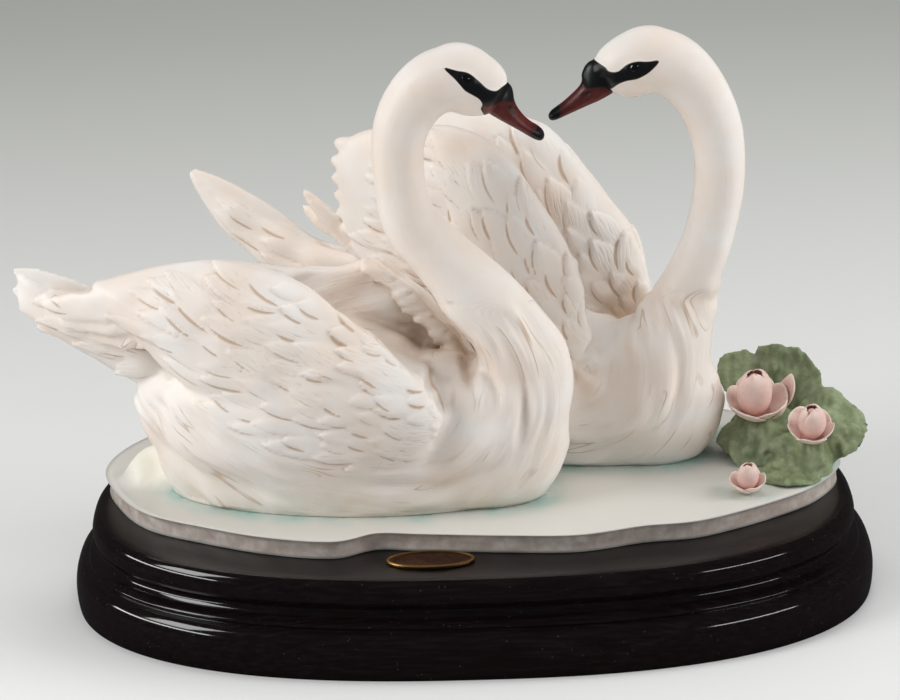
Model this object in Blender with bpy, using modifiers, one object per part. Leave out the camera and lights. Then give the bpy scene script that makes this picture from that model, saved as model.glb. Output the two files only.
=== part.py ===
"""A pair of swans on a pool with water lilies, mounted on an oval moulded plinth.

Lengths are in metres. The origin is the centre of the plinth's underside, +X runs
along the plinth to the right, +Y away from the front and +Z up. Each swan is
modelled in a frame of its own: its origin is the middle of its waterline, its +X
points to the breast and its +Z up.
"""
import math

import bmesh
import bpy
from mathutils import Matrix, Quaternion, Vector

MM = 0.001

# Clearance between neighbouring pieces
GAP = 0.3 * MM

# Turned and moulded wooden plinth
PLINTH_LENGTH = 400.0 * MM
PLINTH_DEPTH = 241.4 * MM
PLINTH_HEIGHT = 46.0 * MM
PLINTH_SQUARENESS = 2.46
BULLNOSE_RADIUS = 11.0 * MM
BEAD_INSET = 8.0 * MM
COVE_INSET = 14.2 * MM
TORUS_HEIGHT = 13.0 * MM
TORUS_INSET = 9.7 * MM
TOP_INSET = 14.1 * MM

# Oval name plate let down on the plinth in front of the pool
PLATE_LENGTH = 42.5 * MM
PLATE_DEPTH = 20.0 * MM
PLATE_THICKNESS = 1.6 * MM
PLATE_RIM = 1.5 * MM
PLATE_RECESS = 0.5 * MM
PLATE_X = -21.3 * MM
PLATE_EDGE_DISTANCE = 11.5 * MM

# Pool slab, set in from the plinth's edge by a margin at its ends and its sides
POOL_END_MARGIN = 17.0 * MM
POOL_SIDE_MARGIN = 33.7 * MM
POOL_LENGTH = PLINTH_LENGTH - 2 * POOL_END_MARGIN
POOL_DEPTH = PLINTH_DEPTH - 2 * POOL_SIDE_MARGIN
POOL_THICKNESS = 9.4 * MM
POOL_ROUNDING = 2.0 * MM
POOL_Y = 11.0 * MM
WAKE_HEIGHT = 20.0 * MM
WAKE_LENGTH = 30.0 * MM
WAKE_X = -163.0 * MM
WAKE_Y = 12.0 * MM

# Swans: places on the pool, headings and the sizes that set their forms
FRONT_X = -58.0 * MM
FRONT_Y = -14.0 * MM
FRONT_HEADING = -6.0
REAR_X = 30.0 * MM
REAR_Y = 50.0 * MM
REAR_HEADING = -20.0
BODY_LENGTH = 200.0 * MM
BODY_WIDTH = 82.0 * MM
BREAST_WIDTH = 68.0 * MM
NECK_THICKNESS = 25.0 * MM
HEAD_WIDTH = 30.0 * MM
BILL_WIDTH = 13.6 * MM
BILL_DEPTH = 15.6 * MM
BILL_KNOB = 9.0 * MM
EYE_DIAMETER = 5.0 * MM
FEATHER_THICKNESS = 3.0 * MM
FEATHER_STEP = 2.4 * MM
NEAR_WING_SWELL = 22.0 * MM
FAR_WING_SWELL = 7.0 * MM
REAR_WING_SWELL = 12.0 * MM
WING_EDGE = 2.4 * MM
TAIL_SWELL = 7.0 * MM
FLANK_SWELL = 9.0 * MM

# Water lilies
PAD_THICKNESS = 2.4 * MM
LARGE_FLOWER = 35.0 * MM
MEDIUM_FLOWER = 25.0 * MM
SMALL_FLOWER = 19.0 * MM
PETAL_THICKNESS = 1.3 * MM
LARGE_SEAT = 21.0 * MM
MEDIUM_SEAT = 19.0 * MM
SEAT_WIDTH = 17.0 * MM

# Fineness of the fused castings
BODY_GRAIN = 2.6 * MM
SWAN_GRAIN = 1.4 * MM
LILY_GRAIN = 1.1 * MM
FLOWER_GRAIN = 0.75 * MM
SWAN_FACETS = 4120
PADS_FACETS = 780
FLOWER_FACETS = 250

POOL_TOP = PLINTH_HEIGHT + GAP + POOL_THICKNESS
CAST_BASE = POOL_TOP + GAP


# Scene, materials and collections

def clear_scene():
    """Remove every object that the file opened with."""
    for item in list(bpy.data.objects):
        bpy.data.objects.remove(item, do_unlink=True)


def make_collection(name):
    collection = bpy.data.collections.new(name)
    bpy.context.scene.collection.children.link(collection)
    return collection


def make_material(name, colour, roughness, metallic=0.0):
    """Principled material from a linear colour, a roughness and a metallic value."""
    material = bpy.data.materials.new(name)
    material.use_nodes = True
    shader = material.node_tree.nodes["Principled BSDF"]
    shader.inputs["Base Color"].default_value = (*colour, 1.0)
    shader.inputs["Roughness"].default_value = roughness
    shader.inputs["Metallic"].default_value = metallic
    material.diffuse_color = (*colour, 1.0)
    return material


def finish_object(name, form, collection, material, smooth_angle=40.0):
    """Turn a bmesh into a named object with one material and smooth shading."""
    bmesh.ops.remove_doubles(form, verts=form.verts, dist=0.00001)
    bmesh.ops.recalc_face_normals(form, faces=form.faces)
    mesh = bpy.data.meshes.new(name)
    form.to_mesh(mesh)
    form.free()
    mesh.materials.append(material)
    mesh.shade_smooth()
    mesh.set_sharp_from_angle(angle=math.radians(smooth_angle))
    item = bpy.data.objects.new(name, mesh)
    collection.objects.link(item)
    return item


# Curves through control points

def smooth_value(before, start, end, after, share):
    """Catmull-Rom value between start and end."""
    slope_in = (end - before) * 0.5
    slope_out = (after - start) * 0.5
    square = share * share
    cube = square * share
    return (
        start * (2 * cube - 3 * square + 1)
        + slope_in * (cube - 2 * square + share)
        + end * (3 * square - 2 * cube)
        + slope_out * (cube - square)
    )


def smooth_path(controls, steps):
    """Points along an open curve, with steps points to each pair of controls."""
    controls = [Vector(point) for point in controls]
    padded = [controls[0] * 2 - controls[1], *controls, controls[-1] * 2 - controls[-2]]
    path = []
    for index in range(1, len(padded) - 2):
        for step in range(steps):
            path.append(smooth_value(*padded[index - 1:index + 3], step / steps))
    path.append(controls[-1])
    return path


def smooth_loop(controls, steps):
    """Points round a closed curve through the controls."""
    controls = [Vector(point) for point in controls]
    count = len(controls)
    loop = []
    for index in range(count):
        ends = [controls[(index + offset) % count] for offset in (-1, 0, 1, 2)]
        for step in range(steps):
            loop.append(smooth_value(*ends, step / steps))
    return loop


# Basic solids, each added to a bmesh

def add_rings(form, rings, closed=True):
    """Skin a stack of rings of equal count and close both ends."""
    layers = [[form.verts.new(point) for point in ring] for ring in rings]
    count = len(layers[0])
    for lower, upper in zip(layers, layers[1:]):
        for index in range(count):
            after = (index + 1) % count
            form.faces.new((lower[index], lower[after], upper[after], upper[index]))
    if closed:
        form.faces.new(layers[0][::-1])
        form.faces.new(layers[-1])
    return layers


def oval_ring(half_length, half_depth, squareness, height, count):
    """Superellipse ring at one height."""
    ring = []
    power = 2.0 / squareness
    for index in range(count):
        angle = 2 * math.pi * index / count
        across = math.copysign(abs(math.cos(angle)) ** power, math.cos(angle))
        deep = math.copysign(abs(math.sin(angle)) ** power, math.sin(angle))
        ring.append(Vector((half_length * across, half_depth * deep, height)))
    return ring


def moulded_oval(length, depth, squareness, profile, count):
    """Oval solid whose edge follows a profile of (inset, height) pairs."""
    form = bmesh.new()
    rings = []
    for inset, height in profile:
        rings.append(oval_ring(length / 2 - inset, depth / 2 - inset, squareness, height, count))
    add_rings(form, rings)
    return form


def add_ball(form, centre, radii, turn=None, segments=24, rings=16):
    """Ellipsoid with its own semi-axes, turned by an optional rotation matrix."""
    place = Matrix.Translation(centre)
    if turn is not None:
        place = place @ turn.to_4x4()
    place = place @ Matrix.Diagonal((*radii, 1.0))
    bmesh.ops.create_uvsphere(form, u_segments=segments, v_segments=rings, radius=1.0, matrix=place)


def frame_along(direction, upward):
    """Rotation whose X axis follows direction and whose Z axis stays near upward."""
    ahead = Vector(direction).normalized()
    side = Vector(upward).cross(ahead).normalized()
    above = ahead.cross(side)
    return Matrix((ahead, side, above)).transposed()


def add_feather(form, root, tip, width, outward):
    """Flat oval feather whose tip stands proud of the surface that root and tip lie on."""
    outward = Vector(outward)
    root = Vector(root) - outward * (FEATHER_THICKNESS / 2 + FEATHER_STEP * 0.5)
    tip = Vector(tip) + outward * (FEATHER_STEP - FEATHER_THICKNESS / 2)
    turn = frame_along(tip - root, outward)
    place = Matrix.Translation((root + tip) / 2) @ turn.to_4x4()
    place = place @ Matrix.Diagonal(((tip - root).length / 2, width / 2, FEATHER_THICKNESS, 1.0))
    bmesh.ops.create_cone(
        form, cap_ends=True, segments=16, radius1=1.0, radius2=0.84, depth=1.0, matrix=place
    )


def add_tube(form, stations, sides=20):
    """Round-ended tube through (point, half-width, half-height) stations."""
    rings = []
    count = len(stations)
    side = Vector((0.0, 1.0, 0.0))
    for index, (point, half_width, half_height) in enumerate(stations):
        before = stations[max(index - 1, 0)][0]
        after = stations[min(index + 1, count - 1)][0]
        ahead = (after - before).normalized()
        side = (side - ahead * side.dot(ahead)).normalized()
        above = ahead.cross(side)
        ring = []
        for step in range(sides):
            angle = 2 * math.pi * step / sides
            ring.append(
                point + side * (half_width * math.cos(angle)) + above * (half_height * math.sin(angle))
            )
        rings.append(ring)
    add_rings(form, rings)


# Fusing several solids into one casting

def evaluated_mesh(item):
    graph = bpy.context.evaluated_depsgraph_get()
    return bpy.data.meshes.new_from_object(item.evaluated_get(graph))


def fused_mesh(form, grain, smoothing):
    """Mesh of the form's solids fused in one skin, with the smoothing rounds given."""
    mesh = bpy.data.meshes.new("rough")
    form.to_mesh(mesh)
    form.free()
    rough = bpy.data.objects.new("rough", mesh)
    bpy.context.scene.collection.objects.link(rough)
    remesh = rough.modifiers.new("Fuse", "REMESH")
    remesh.mode = "VOXEL"
    remesh.voxel_size = grain
    soften = rough.modifiers.new("Soften", "SMOOTH")
    soften.factor = 0.5
    soften.iterations = smoothing
    fused = evaluated_mesh(rough)
    bpy.data.objects.remove(rough, do_unlink=True)
    return fused


def blended(form, grain, smoothing):
    """The form with its solids run together softly, as a new bmesh."""
    smooth = bmesh.new()
    smooth.from_mesh(fused_mesh(form, grain, smoothing))
    return smooth


def keep_largest(form):
    """Keep the outer skin and drop the skins of any pockets shut inside it."""
    unseen = set(form.faces)
    shells = []
    while unseen:
        seed = unseen.pop()
        shell = [seed]
        front = [seed]
        while front:
            face = front.pop()
            for edge in face.edges:
                for near in edge.link_faces:
                    if near in unseen:
                        unseen.remove(near)
                        shell.append(near)
                        front.append(near)
        shells.append(shell)
    shells.sort(key=len, reverse=True)
    spare = [face for shell in shells[1:] for face in shell]
    bmesh.ops.delete(form, geom=spare, context="FACES")


def cut_flat(form, height):
    """Slice the casting level at the given height and cap the cut."""
    geometry = form.verts[:] + form.edges[:] + form.faces[:]
    bmesh.ops.bisect_plane(
        form,
        geom=geometry,
        dist=0.000001,
        plane_co=(0.0, 0.0, height),
        plane_no=(0.0, 0.0, -1.0),
        clear_outer=True,
    )
    rim = [edge for edge in form.edges if edge.is_boundary]
    bmesh.ops.holes_fill(form, edges=rim, sides=0)
    caps = [face for face in form.faces if len(face.verts) > 4]
    bmesh.ops.triangulate(form, faces=caps)


def fuse(name, form, collection, material, grain, facets, place, smoothing=1):
    """Fuse overlapping solids into one skin, thin its facets and seat it on the pool."""
    dense = fused_mesh(form, grain, smoothing)
    rough = bpy.data.objects.new(name + "_dense", dense)
    collection.objects.link(rough)
    thin = rough.modifiers.new("Thin", "DECIMATE")
    thin.ratio = min(1.0, facets / (2.0 * len(dense.polygons)))
    lean = evaluated_mesh(rough)
    bpy.data.objects.remove(rough, do_unlink=True)
    casting = bmesh.new()
    casting.from_mesh(lean)
    casting.transform(place)
    bmesh.ops.triangulate(casting, faces=casting.faces)
    keep_largest(casting)
    cut_flat(casting, CAST_BASE)
    keep_largest(casting)
    return finish_object(name, casting, collection, material, 60.0)


# Plinth, name plate and pool

def plinth_profile():
    """Edge moulding from the underside up: bullnose, bead, cove and torus."""
    nose = BULLNOSE_RADIUS
    profile = []
    for angle in (-78, -40, 0, 35, 62):
        swing = math.radians(angle)
        profile.append((nose * 0.45 * (1 - math.cos(swing)), nose * (1 + math.sin(swing))))
    profile[0] = (profile[0][0], 0.0)
    bead_height = 2 * nose + 1.5 * MM
    profile.append((BEAD_INSET, bead_height - 1.0 * MM))
    profile.append((BEAD_INSET + 1.4 * MM, bead_height + 1.0 * MM))
    torus_middle = PLINTH_HEIGHT - TORUS_HEIGHT / 2
    torus_foot = PLINTH_HEIGHT - TORUS_HEIGHT
    profile.append((COVE_INSET - 1.6 * MM, bead_height + 3.2 * MM))
    profile.append((COVE_INSET, (bead_height + torus_foot) / 2 + 2.2 * MM))
    profile.append((COVE_INSET - 1.5 * MM, torus_foot))
    for angle in (-52, -8, 36, 68):
        swing = math.radians(angle)
        inset = TORUS_INSET + (TOP_INSET - TORUS_INSET) * (1 - math.cos(swing))
        profile.append((inset, torus_middle + TORUS_HEIGHT / 2 * math.sin(swing)))
    profile.append((TOP_INSET, PLINTH_HEIGHT))
    return profile


def build_plinth(collection):
    wood = make_material("mahogany", (0.016, 0.008, 0.008), 0.22)
    form = moulded_oval(PLINTH_LENGTH, PLINTH_DEPTH, PLINTH_SQUARENESS, plinth_profile(), 52)
    return finish_object("plinth", form, collection, wood)


def build_name_plate(collection):
    """Plain oval plate with a raised rim."""
    brass = make_material("plate_brass", (0.30, 0.16, 0.06), 0.35, 1.0)
    profile = (
        (0.3 * MM, 0.0),
        (0.0, PLATE_THICKNESS * 0.6),
        (PLATE_RIM * 0.45, PLATE_THICKNESS),
        (PLATE_RIM, PLATE_THICKNESS),
        (PLATE_RIM + 0.6 * MM, PLATE_THICKNESS - PLATE_RECESS),
    )
    form = moulded_oval(PLATE_LENGTH, PLATE_DEPTH, 2.0, profile, 24)
    front_edge = PLINTH_DEPTH / 2 - TOP_INSET
    middle = -(front_edge - PLATE_EDGE_DISTANCE - PLATE_DEPTH / 2)
    form.transform(Matrix.Translation((PLATE_X, middle, PLINTH_HEIGHT + GAP)))
    return finish_object("name_plate", form, collection, brass)


def pool_outline():
    """Wavy rim of the pool as shares of its half length and half depth."""
    shares = (
        (1.00, -0.06), (0.93, -0.39), (0.80, -0.63), (0.60, -0.87), (0.44, -0.93),
        (0.27, -1.03), (0.08, -1.01), (-0.13, -0.96), (-0.26, -0.93), (-0.37, -1.03),
        (-0.54, -0.95), (-0.70, -0.79), (-0.86, -0.58), (-0.95, -0.29), (-1.00, 0.08),
        (-0.95, 0.44), (-0.82, 0.73), (-0.60, 0.90), (-0.34, 0.98), (-0.10, 0.94),
        (0.14, 1.00), (0.40, 0.96), (0.62, 0.86), (0.80, 0.66), (0.94, 0.34),
    )
    return [Vector((x * POOL_LENGTH / 2, y * POOL_DEPTH / 2, 0.0)) for x, y in shares]


def build_pool(collection):
    """Slab with a rounded top edge and a low wake behind the front swan's tail."""
    resin = make_material("pool_resin", (0.80, 0.83, 0.78), 0.45)
    form = bmesh.new()
    rim = smooth_loop(pool_outline(), 2)
    levels = (
        (0.6 * MM, 0.0),
        (0.0, POOL_THICKNESS * 0.3),
        (0.0, POOL_THICKNESS - POOL_ROUNDING),
        (POOL_ROUNDING * 0.3, POOL_THICKNESS - POOL_ROUNDING * 0.3),
        (POOL_ROUNDING, POOL_THICKNESS),
    )
    rings = []
    count = len(rim)
    for inset, height in levels:
        ring = []
        for index, point in enumerate(rim):
            along = (rim[(index + 1) % count] - rim[index - 1]).normalized()
            inward = Vector((-along.y, along.x, 0.0))
            ring.append(point + inward * inset + Vector((0.0, POOL_Y, height)))
        rings.append(ring)
    add_rings(form, rings)
    slab_mesh = bpy.data.meshes.new("slab")
    form.to_mesh(slab_mesh)
    form.free()
    slab = bpy.data.objects.new("slab", slab_mesh)
    collection.objects.link(slab)
    wake_form = bmesh.new()
    radii = (WAKE_LENGTH / 2, WAKE_LENGTH * 0.62, WAKE_HEIGHT)
    add_ball(wake_form, (WAKE_X, WAKE_Y, POOL_THICKNESS - 1.0 * MM), radii, None, 16, 10)
    wake_mesh = bpy.data.meshes.new("wake")
    wake_form.to_mesh(wake_mesh)
    wake_form.free()
    wake = bpy.data.objects.new("wake", wake_mesh)
    collection.objects.link(wake)
    trim = wake.modifiers.new("Trim", "BOOLEAN")
    trim.operation = "INTERSECT"
    trim.solver = "EXACT"
    block_mesh = bpy.data.meshes.new("block")
    block_form = bmesh.new()
    size = Matrix.Diagonal((0.1, 0.1, 0.1, 1.0))
    place = Matrix.Translation((WAKE_X, WAKE_Y, POOL_THICKNESS - 3.0 * MM + 0.05))
    bmesh.ops.create_cube(block_form, size=1.0, matrix=place @ size)
    block_form.to_mesh(block_mesh)
    block_form.free()
    block = bpy.data.objects.new("block", block_mesh)
    collection.objects.link(block)
    trim.object = block
    join = slab.modifiers.new("Join", "BOOLEAN")
    join.operation = "UNION"
    join.solver = "EXACT"
    join.object = wake
    joined = evaluated_mesh(slab)
    for spare in (slab, wake, block):
        bpy.data.objects.remove(spare, do_unlink=True)
    casting = bmesh.new()
    casting.from_mesh(joined)
    casting.transform(Matrix.Translation((0.0, 0.0, PLINTH_HEIGHT + GAP)))
    bmesh.ops.triangulate(casting, faces=casting.faces)
    return finish_object("pool", casting, collection, resin)


# Swan parts, all in the swan's own frame

class Wing:
    """A folded or raised wing: a swollen pad on a side-view outline.

    The outline is a loop of (x, z) controls, hub is the middle of the pad and wrist
    the point from which the feather rows fan out. The pad stands at the distance
    stand from the swan's middle plane and leans with x and z.
    """

    def __init__(self, side, outline, hub, wrist, stand, lean_x, lean_z, swell_out, swell_in):
        self.side = side
        self.loop = smooth_loop([(x * MM, z * MM, 0.0) for x, z in outline], 4)
        self.hub = Vector((hub[0] * MM, hub[1] * MM))
        self.wrist = Vector((wrist[0] * MM, wrist[1] * MM))
        self.stand = stand
        self.lean_x = lean_x
        self.lean_z = lean_z
        self.swell_out = swell_out
        self.swell_in = swell_in

    def reach(self, x, z):
        """Share of the way from the hub to the rim, 1 on the rim."""
        away = Vector((x, z)) - self.hub
        if away.length < 1e-6:
            return 0.0
        angle = math.atan2(away.y, away.x)
        best = None
        for index, here in enumerate(self.loop):
            there = self.loop[(index + 1) % len(self.loop)]
            start = Vector(here.xy) - self.hub
            end = Vector(there.xy) - self.hub
            turn = math.atan2(end.y, end.x) - math.atan2(start.y, start.x)
            turn = (turn + math.pi) % (2 * math.pi) - math.pi
            offset = (angle - math.atan2(start.y, start.x) + math.pi) % (2 * math.pi) - math.pi
            if turn != 0 and 0 <= offset / turn <= 1:
                rim = start.lerp(end, offset / turn).length
                best = rim if best is None else max(best, rim)
        return away.length / best if best else 1.0

    def middle(self, x, z):
        return self.stand + self.lean_x * (x - self.hub.x) + self.lean_z * (z - self.hub.y)

    def skin(self, x, z, reach, outward=True):
        """Point on the outer or inner face of the pad."""
        dome = max(0.0, 1.0 - reach * reach) ** 0.6
        if outward:
            depth = self.middle(x, z) + WING_EDGE + self.swell_out * dome
        else:
            depth = self.middle(x, z) - WING_EDGE - self.swell_in * dome
        return Vector((x, self.side * depth, z))

    def add_pad(self, form):
        rings = []
        shares = (0.12, 0.3, 0.5, 0.68, 0.82, 0.92, 0.98, 1.0)
        for outward in (True, False):
            order = shares if outward else shares[::-1]
            for share in order:
                ring = []
                for rim in self.loop:
                    spot = self.hub.lerp(rim.xy, share)
                    ring.append(self.skin(spot.x, spot.y, share, outward))
                rings.append(ring)
        add_rings(form, rings)

    def normal(self, x, z, reach):
        step = 1.0 * MM
        here = self.skin(x, z, reach)
        east = self.skin(x + step, z, self.reach(x + step, z))
        north = self.skin(x, z + step, self.reach(x, z + step))
        across = (east - here).cross(north - here).normalized()
        return -across if across.y * self.side < 0 else across

    def add_rows(self, form, rows, heading, spread):
        """Overlapping feathers in staggered rows across the wing.

        Each row is (distance of the tips from the wrist, feather length, feather
        width). The rows follow one another along heading, an angle in the side view,
        and their feathers fan out from a point at the distance spread behind the wrist.
        """
        along = Vector((math.cos(math.radians(heading)), math.sin(math.radians(heading))))
        across = Vector((-along.y, along.x))
        origin = self.wrist - along * spread * MM
        for number, (distance, length, width) in enumerate(rows):
            pitch = width * MM * 0.74
            for index in range(-9, 10):
                offset = (index + 0.5 * (number % 2)) * pitch
                tip = self.wrist + along * distance * MM + across * offset
                reach = self.reach(tip.x, tip.y)
                if reach > 0.94 or (number < 3 and reach > 0.80):
                    continue
                root = tip - (tip - origin).normalized() * length * MM
                inner = min(self.reach(root.x, root.y), 0.97)
                outward = self.normal(tip.x, tip.y, reach)
                tip_point = self.skin(tip.x, tip.y, reach)
                root_point = self.skin(root.x, root.y, inner)
                add_feather(form, root_point, tip_point, width * MM, outward)


def add_neck(form, controls):
    """Neck, crown and face as one tube; controls are (x, y, z, thickness share)."""
    places = smooth_path([Vector(point[:3]) * MM for point in controls], 5)
    shares = smooth_path([Vector((point[3], 0.0, 0.0)) for point in controls], 5)
    stations = []
    for place, share in zip(places, shares):
        radius = share.x * NECK_THICKNESS / 2
        stations.append((place, radius, radius))
    add_tube(form, stations)


def add_head(form, crown, knob, bill_tip):
    """Skull, knob, bill and eyes on the end of the neck."""
    crown = Vector(crown) * MM
    knob = Vector(knob) * MM
    bill_tip = Vector(bill_tip) * MM
    ahead = (bill_tip - crown).normalized()
    turn = frame_along(ahead, (0.0, 0.0, 1.0))
    side = turn.col[1]
    above = turn.col[2]
    half = HEAD_WIDTH / 2
    add_ball(form, crown + ahead * half * 0.15, (half * 1.38, half, half * 1.08), turn)
    add_ball(form, knob, (BILL_KNOB / 2, BILL_KNOB / 2, BILL_KNOB / 2))
    root = knob - above * BILL_KNOB * 0.62
    length = (bill_tip - root).length
    run = (bill_tip - root).normalized()
    outline = (
        (-0.30, 0.90, 0.96), (0.02, 1.00, 1.00), (0.25, 0.88, 0.78), (0.5, 0.72, 0.57),
        (0.75, 0.68, 0.45), (0.90, 0.60, 0.37), (1.0, 0.34, 0.20),
    )
    stations = []
    for share, wide, tall in outline:
        spot = root + run * length * share
        stations.append((spot, BILL_WIDTH / 2 * wide, BILL_DEPTH / 2 * tall))
    add_tube(form, stations)
    eye = EYE_DIAMETER / 2
    for hand in (-1, 1):
        spot = crown + ahead * half * 0.42 + side * (hand * (half - eye * 0.42)) + above * half * 0.16
        add_ball(form, spot, (eye, eye, eye))


def add_fan(form, roots, tips, width, outward=(0.0, -1.0, 0.3)):
    """Row of long feathers from a short line of roots to a longer line of tips."""
    count = len(tips)
    for index, tip in enumerate(tips):
        share = index / (count - 1)
        root = Vector(roots[0]).lerp(Vector(roots[1]), share) * MM
        add_feather(form, root, Vector(tip) * MM, width * MM, outward)


def add_body(form, breast_x, rump_x):
    """Hull, breast and rump as ellipsoids that the fusing runs together."""
    half_length = BODY_LENGTH / 2
    half_width = BODY_WIDTH / 2
    add_ball(form, (-4 * MM, 0.0, 20 * MM), (half_length * 0.95, half_width, 54 * MM))
    half_breast = BREAST_WIDTH / 2
    add_ball(form, (breast_x * MM, 0.0, 26 * MM), (47 * MM, half_breast, 40 * MM))
    add_ball(form, (rump_x * MM, 0.0, 44 * MM), (half_length * 0.44, half_width * 0.65, 36 * MM))


def front_swan_form():
    form = bmesh.new()
    add_body(form, 60.0, -64.0)
    for side in (-1, 1):
        flank = Vector((-20 * MM, side * (BODY_WIDTH / 2 + FLANK_SWELL - 37 * MM), 44 * MM))
        add_ball(form, flank, (72 * MM, 37 * MM, 42 * MM))
    add_neck(form, (
        (74.0, 0.0, 36.0, 2.55), (86.0, 1.0, 62.0, 1.72), (69.5, 1.0, 92.6, 1.55),
        (47.4, 1.2, 118.7, 1.22), (32.0, 1.5, 136.9, 1.10), (27.6, 2.2, 151.5, 1.02),
        (26.0, 2.8, 169.3, 1.03), (28.0, 4.0, 184.6, 1.09), (35.2, 4.8, 198.0, 1.16),
        (45.0, 6.6, 205.8, 1.24), (56.0, 8.0, 207.4, 1.26), (66.5, 9.2, 202.8, 1.16),
        (72.5, 10.4, 197.6, 0.88),
    ))
    form = blended(form, BODY_GRAIN, 8)
    add_head(form, (57.0, 8.0, 207.8), (74.6, 11.0, 201.2), (94.0, 15.9, 177.9))
    outline = (
        (47, 48), (42, 63), (30, 77), (5, 98), (-24, 116), (-52, 124), (-85, 121), (-112, 114),
        (-133, 107), (-146, 98), (-128, 88), (-104, 78), (-84, 66), (-56, 50), (-25, 36),
        (8, 27), (35, 30),
    )
    far_outline = (
        (62, 48), (56, 65), (46, 80), (34, 93), (20, 105), (9, 111), (-8, 107), (-32, 108),
        (-60, 109), (-92, 104), (-122, 98), (-146, 92), (-126, 84), (-98, 72), (-60, 54),
        (-22, 40), (14, 30), (48, 31),
    )
    near = Wing(-1, outline, (-28, 76), (62, 40), 25 * MM, 0.07, -0.12, NEAR_WING_SWELL, 8 * MM)
    far = Wing(1, far_outline, (-14, 78), (76, 42), 24 * MM, 0.06, -0.04, FAR_WING_SWELL, 6 * MM)
    rows = (
        (50, 26, 20), (70, 30, 20), (92, 34, 21), (115, 38, 21), (140, 42, 20), (166, 46, 19),
        (192, 48, 17),
    )
    for wing in (near, far):
        wing.add_pad(form)
        wing.add_rows(form, rows, 163, 60)
    tail = (
        (-60, 106), (-100, 105), (-134, 98), (-152, 102), (-163, 105), (-162, 97), (-164, 90),
        (-157, 80), (-138, 68), (-112, 53), (-85, 48), (-60, 70),
    )
    tail_rows = ((72, 36, 20), (94, 38, 19), (116, 42, 17))
    for side in (-1, 1):
        half = Wing(side, tail, (-110, 84), (-46, 90), 0.0, 0.0, 0.0, TAIL_SWELL, 1 * MM)
        half.add_pad(form)
        half.add_rows(form, tail_rows, 184, 60)
    return form


def rear_swan_form():
    form = bmesh.new()
    add_body(form, 56.0, -64.0)
    add_neck(form, (
        (62.0, 0.0, 32.0, 2.55), (73.0, 0.0, 56.0, 1.97), (82.5, 0.0, 80.0, 1.38),
        (88.5, 0.0, 97.0, 1.10), (95.3, -0.5, 115.0, 1.01), (100.5, -0.7, 138.7, 1.00),
        (101.4, -1.4, 156.8, 1.02), (99.0, -3.4, 174.3, 1.08), (92.0, -7.0, 191.5, 1.14),
        (82.0, -11.5, 203.5, 1.24), (69.5, -16.8, 208.0, 1.28), (57.5, -22.3, 204.0, 1.16),
        (50.5, -25.8, 199.6, 0.88),
    ))
    form = blended(form, BODY_GRAIN, 8)
    add_head(form, (68.0, -17.5, 208.2), (44.2, -28.6, 203.0), (27.6, -37.6, 184.2))
    near_outline = (
        (40, 62), (39, 84), (37, 97), (29, 116), (15, 138), (2, 156), (-12, 166), (-31, 171),
        (-51, 168), (-72, 166), (-85, 158), (-88, 145), (-87, 120), (-80, 104), (-68, 84),
        (-40, 62), (-8, 46), (24, 44),
    )
    far_outline = (
        (46, 50), (54, 64), (55, 76), (52, 88), (47, 102), (40, 114), (27, 129), (13, 146),
        (1, 157), (-20, 163), (-44, 163), (-66, 158), (-80, 146), (-84, 120), (-70, 88),
        (-40, 62), (-6, 44), (24, 38),
    )
    near = Wing(
        -1, near_outline, (-22, 108), (58, 52), 26 * MM, -0.02, 0.02, REAR_WING_SWELL, 6 * MM
    )
    far = Wing(
        1, far_outline, (-10, 104), (66, 44), 28 * MM, 0.10, 0.02, REAR_WING_SWELL, 20 * MM
    )
    rows = (
        (46, 26, 20), (66, 30, 20), (88, 34, 21), (110, 38, 21), (132, 42, 20), (156, 46, 18),
    )
    for wing in (near, far):
        wing.add_pad(form)
        wing.add_rows(form, rows, 138, 10)
    tail = (
        (-177, 132), (-166, 127), (-155, 120), (-134, 109), (-105, 99), (-70, 90), (-62, 70),
        (-90, 62), (-118, 72), (-148, 93), (-161, 104), (-171, 117),
    )
    tail_rows = ((72, 36, 20), (94, 38, 19), (116, 42, 17))
    for side in (-1, 1):
        half = Wing(side, tail, (-118, 92), (-50, 66), -side * 12 * MM, 0.0, 0.0, TAIL_SWELL, 1 * MM)
        half.add_pad(form)
        half.add_rows(form, tail_rows, 155, 60)
    tips = ((-112, -22, 131), (-106, -28, 128), (-114, -18, 121))
    add_fan(form, ((-70, -26, 96), (-74, -18, 88)), tips, 13)
    return form


def swan_place(x, y, heading):
    turn = Matrix.Rotation(math.radians(heading), 4, "Z")
    return Matrix.Translation((x, y, CAST_BASE)) @ turn


def build_swans(collection):
    porcelain = make_material("white_resin", (0.86, 0.80, 0.75), 0.48)
    front = fuse(
        "front_swan", front_swan_form(), collection, porcelain, SWAN_GRAIN, SWAN_FACETS,
        swan_place(FRONT_X, FRONT_Y, FRONT_HEADING),
    )
    rear_material = make_material("white_resin_rear", (0.86, 0.80, 0.75), 0.48)
    rear = fuse(
        "rear_swan", rear_swan_form(), collection, rear_material, SWAN_GRAIN, SWAN_FACETS,
        swan_place(REAR_X, REAR_Y, REAR_HEADING),
    )
    return front, rear


# Water lilies

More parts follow.
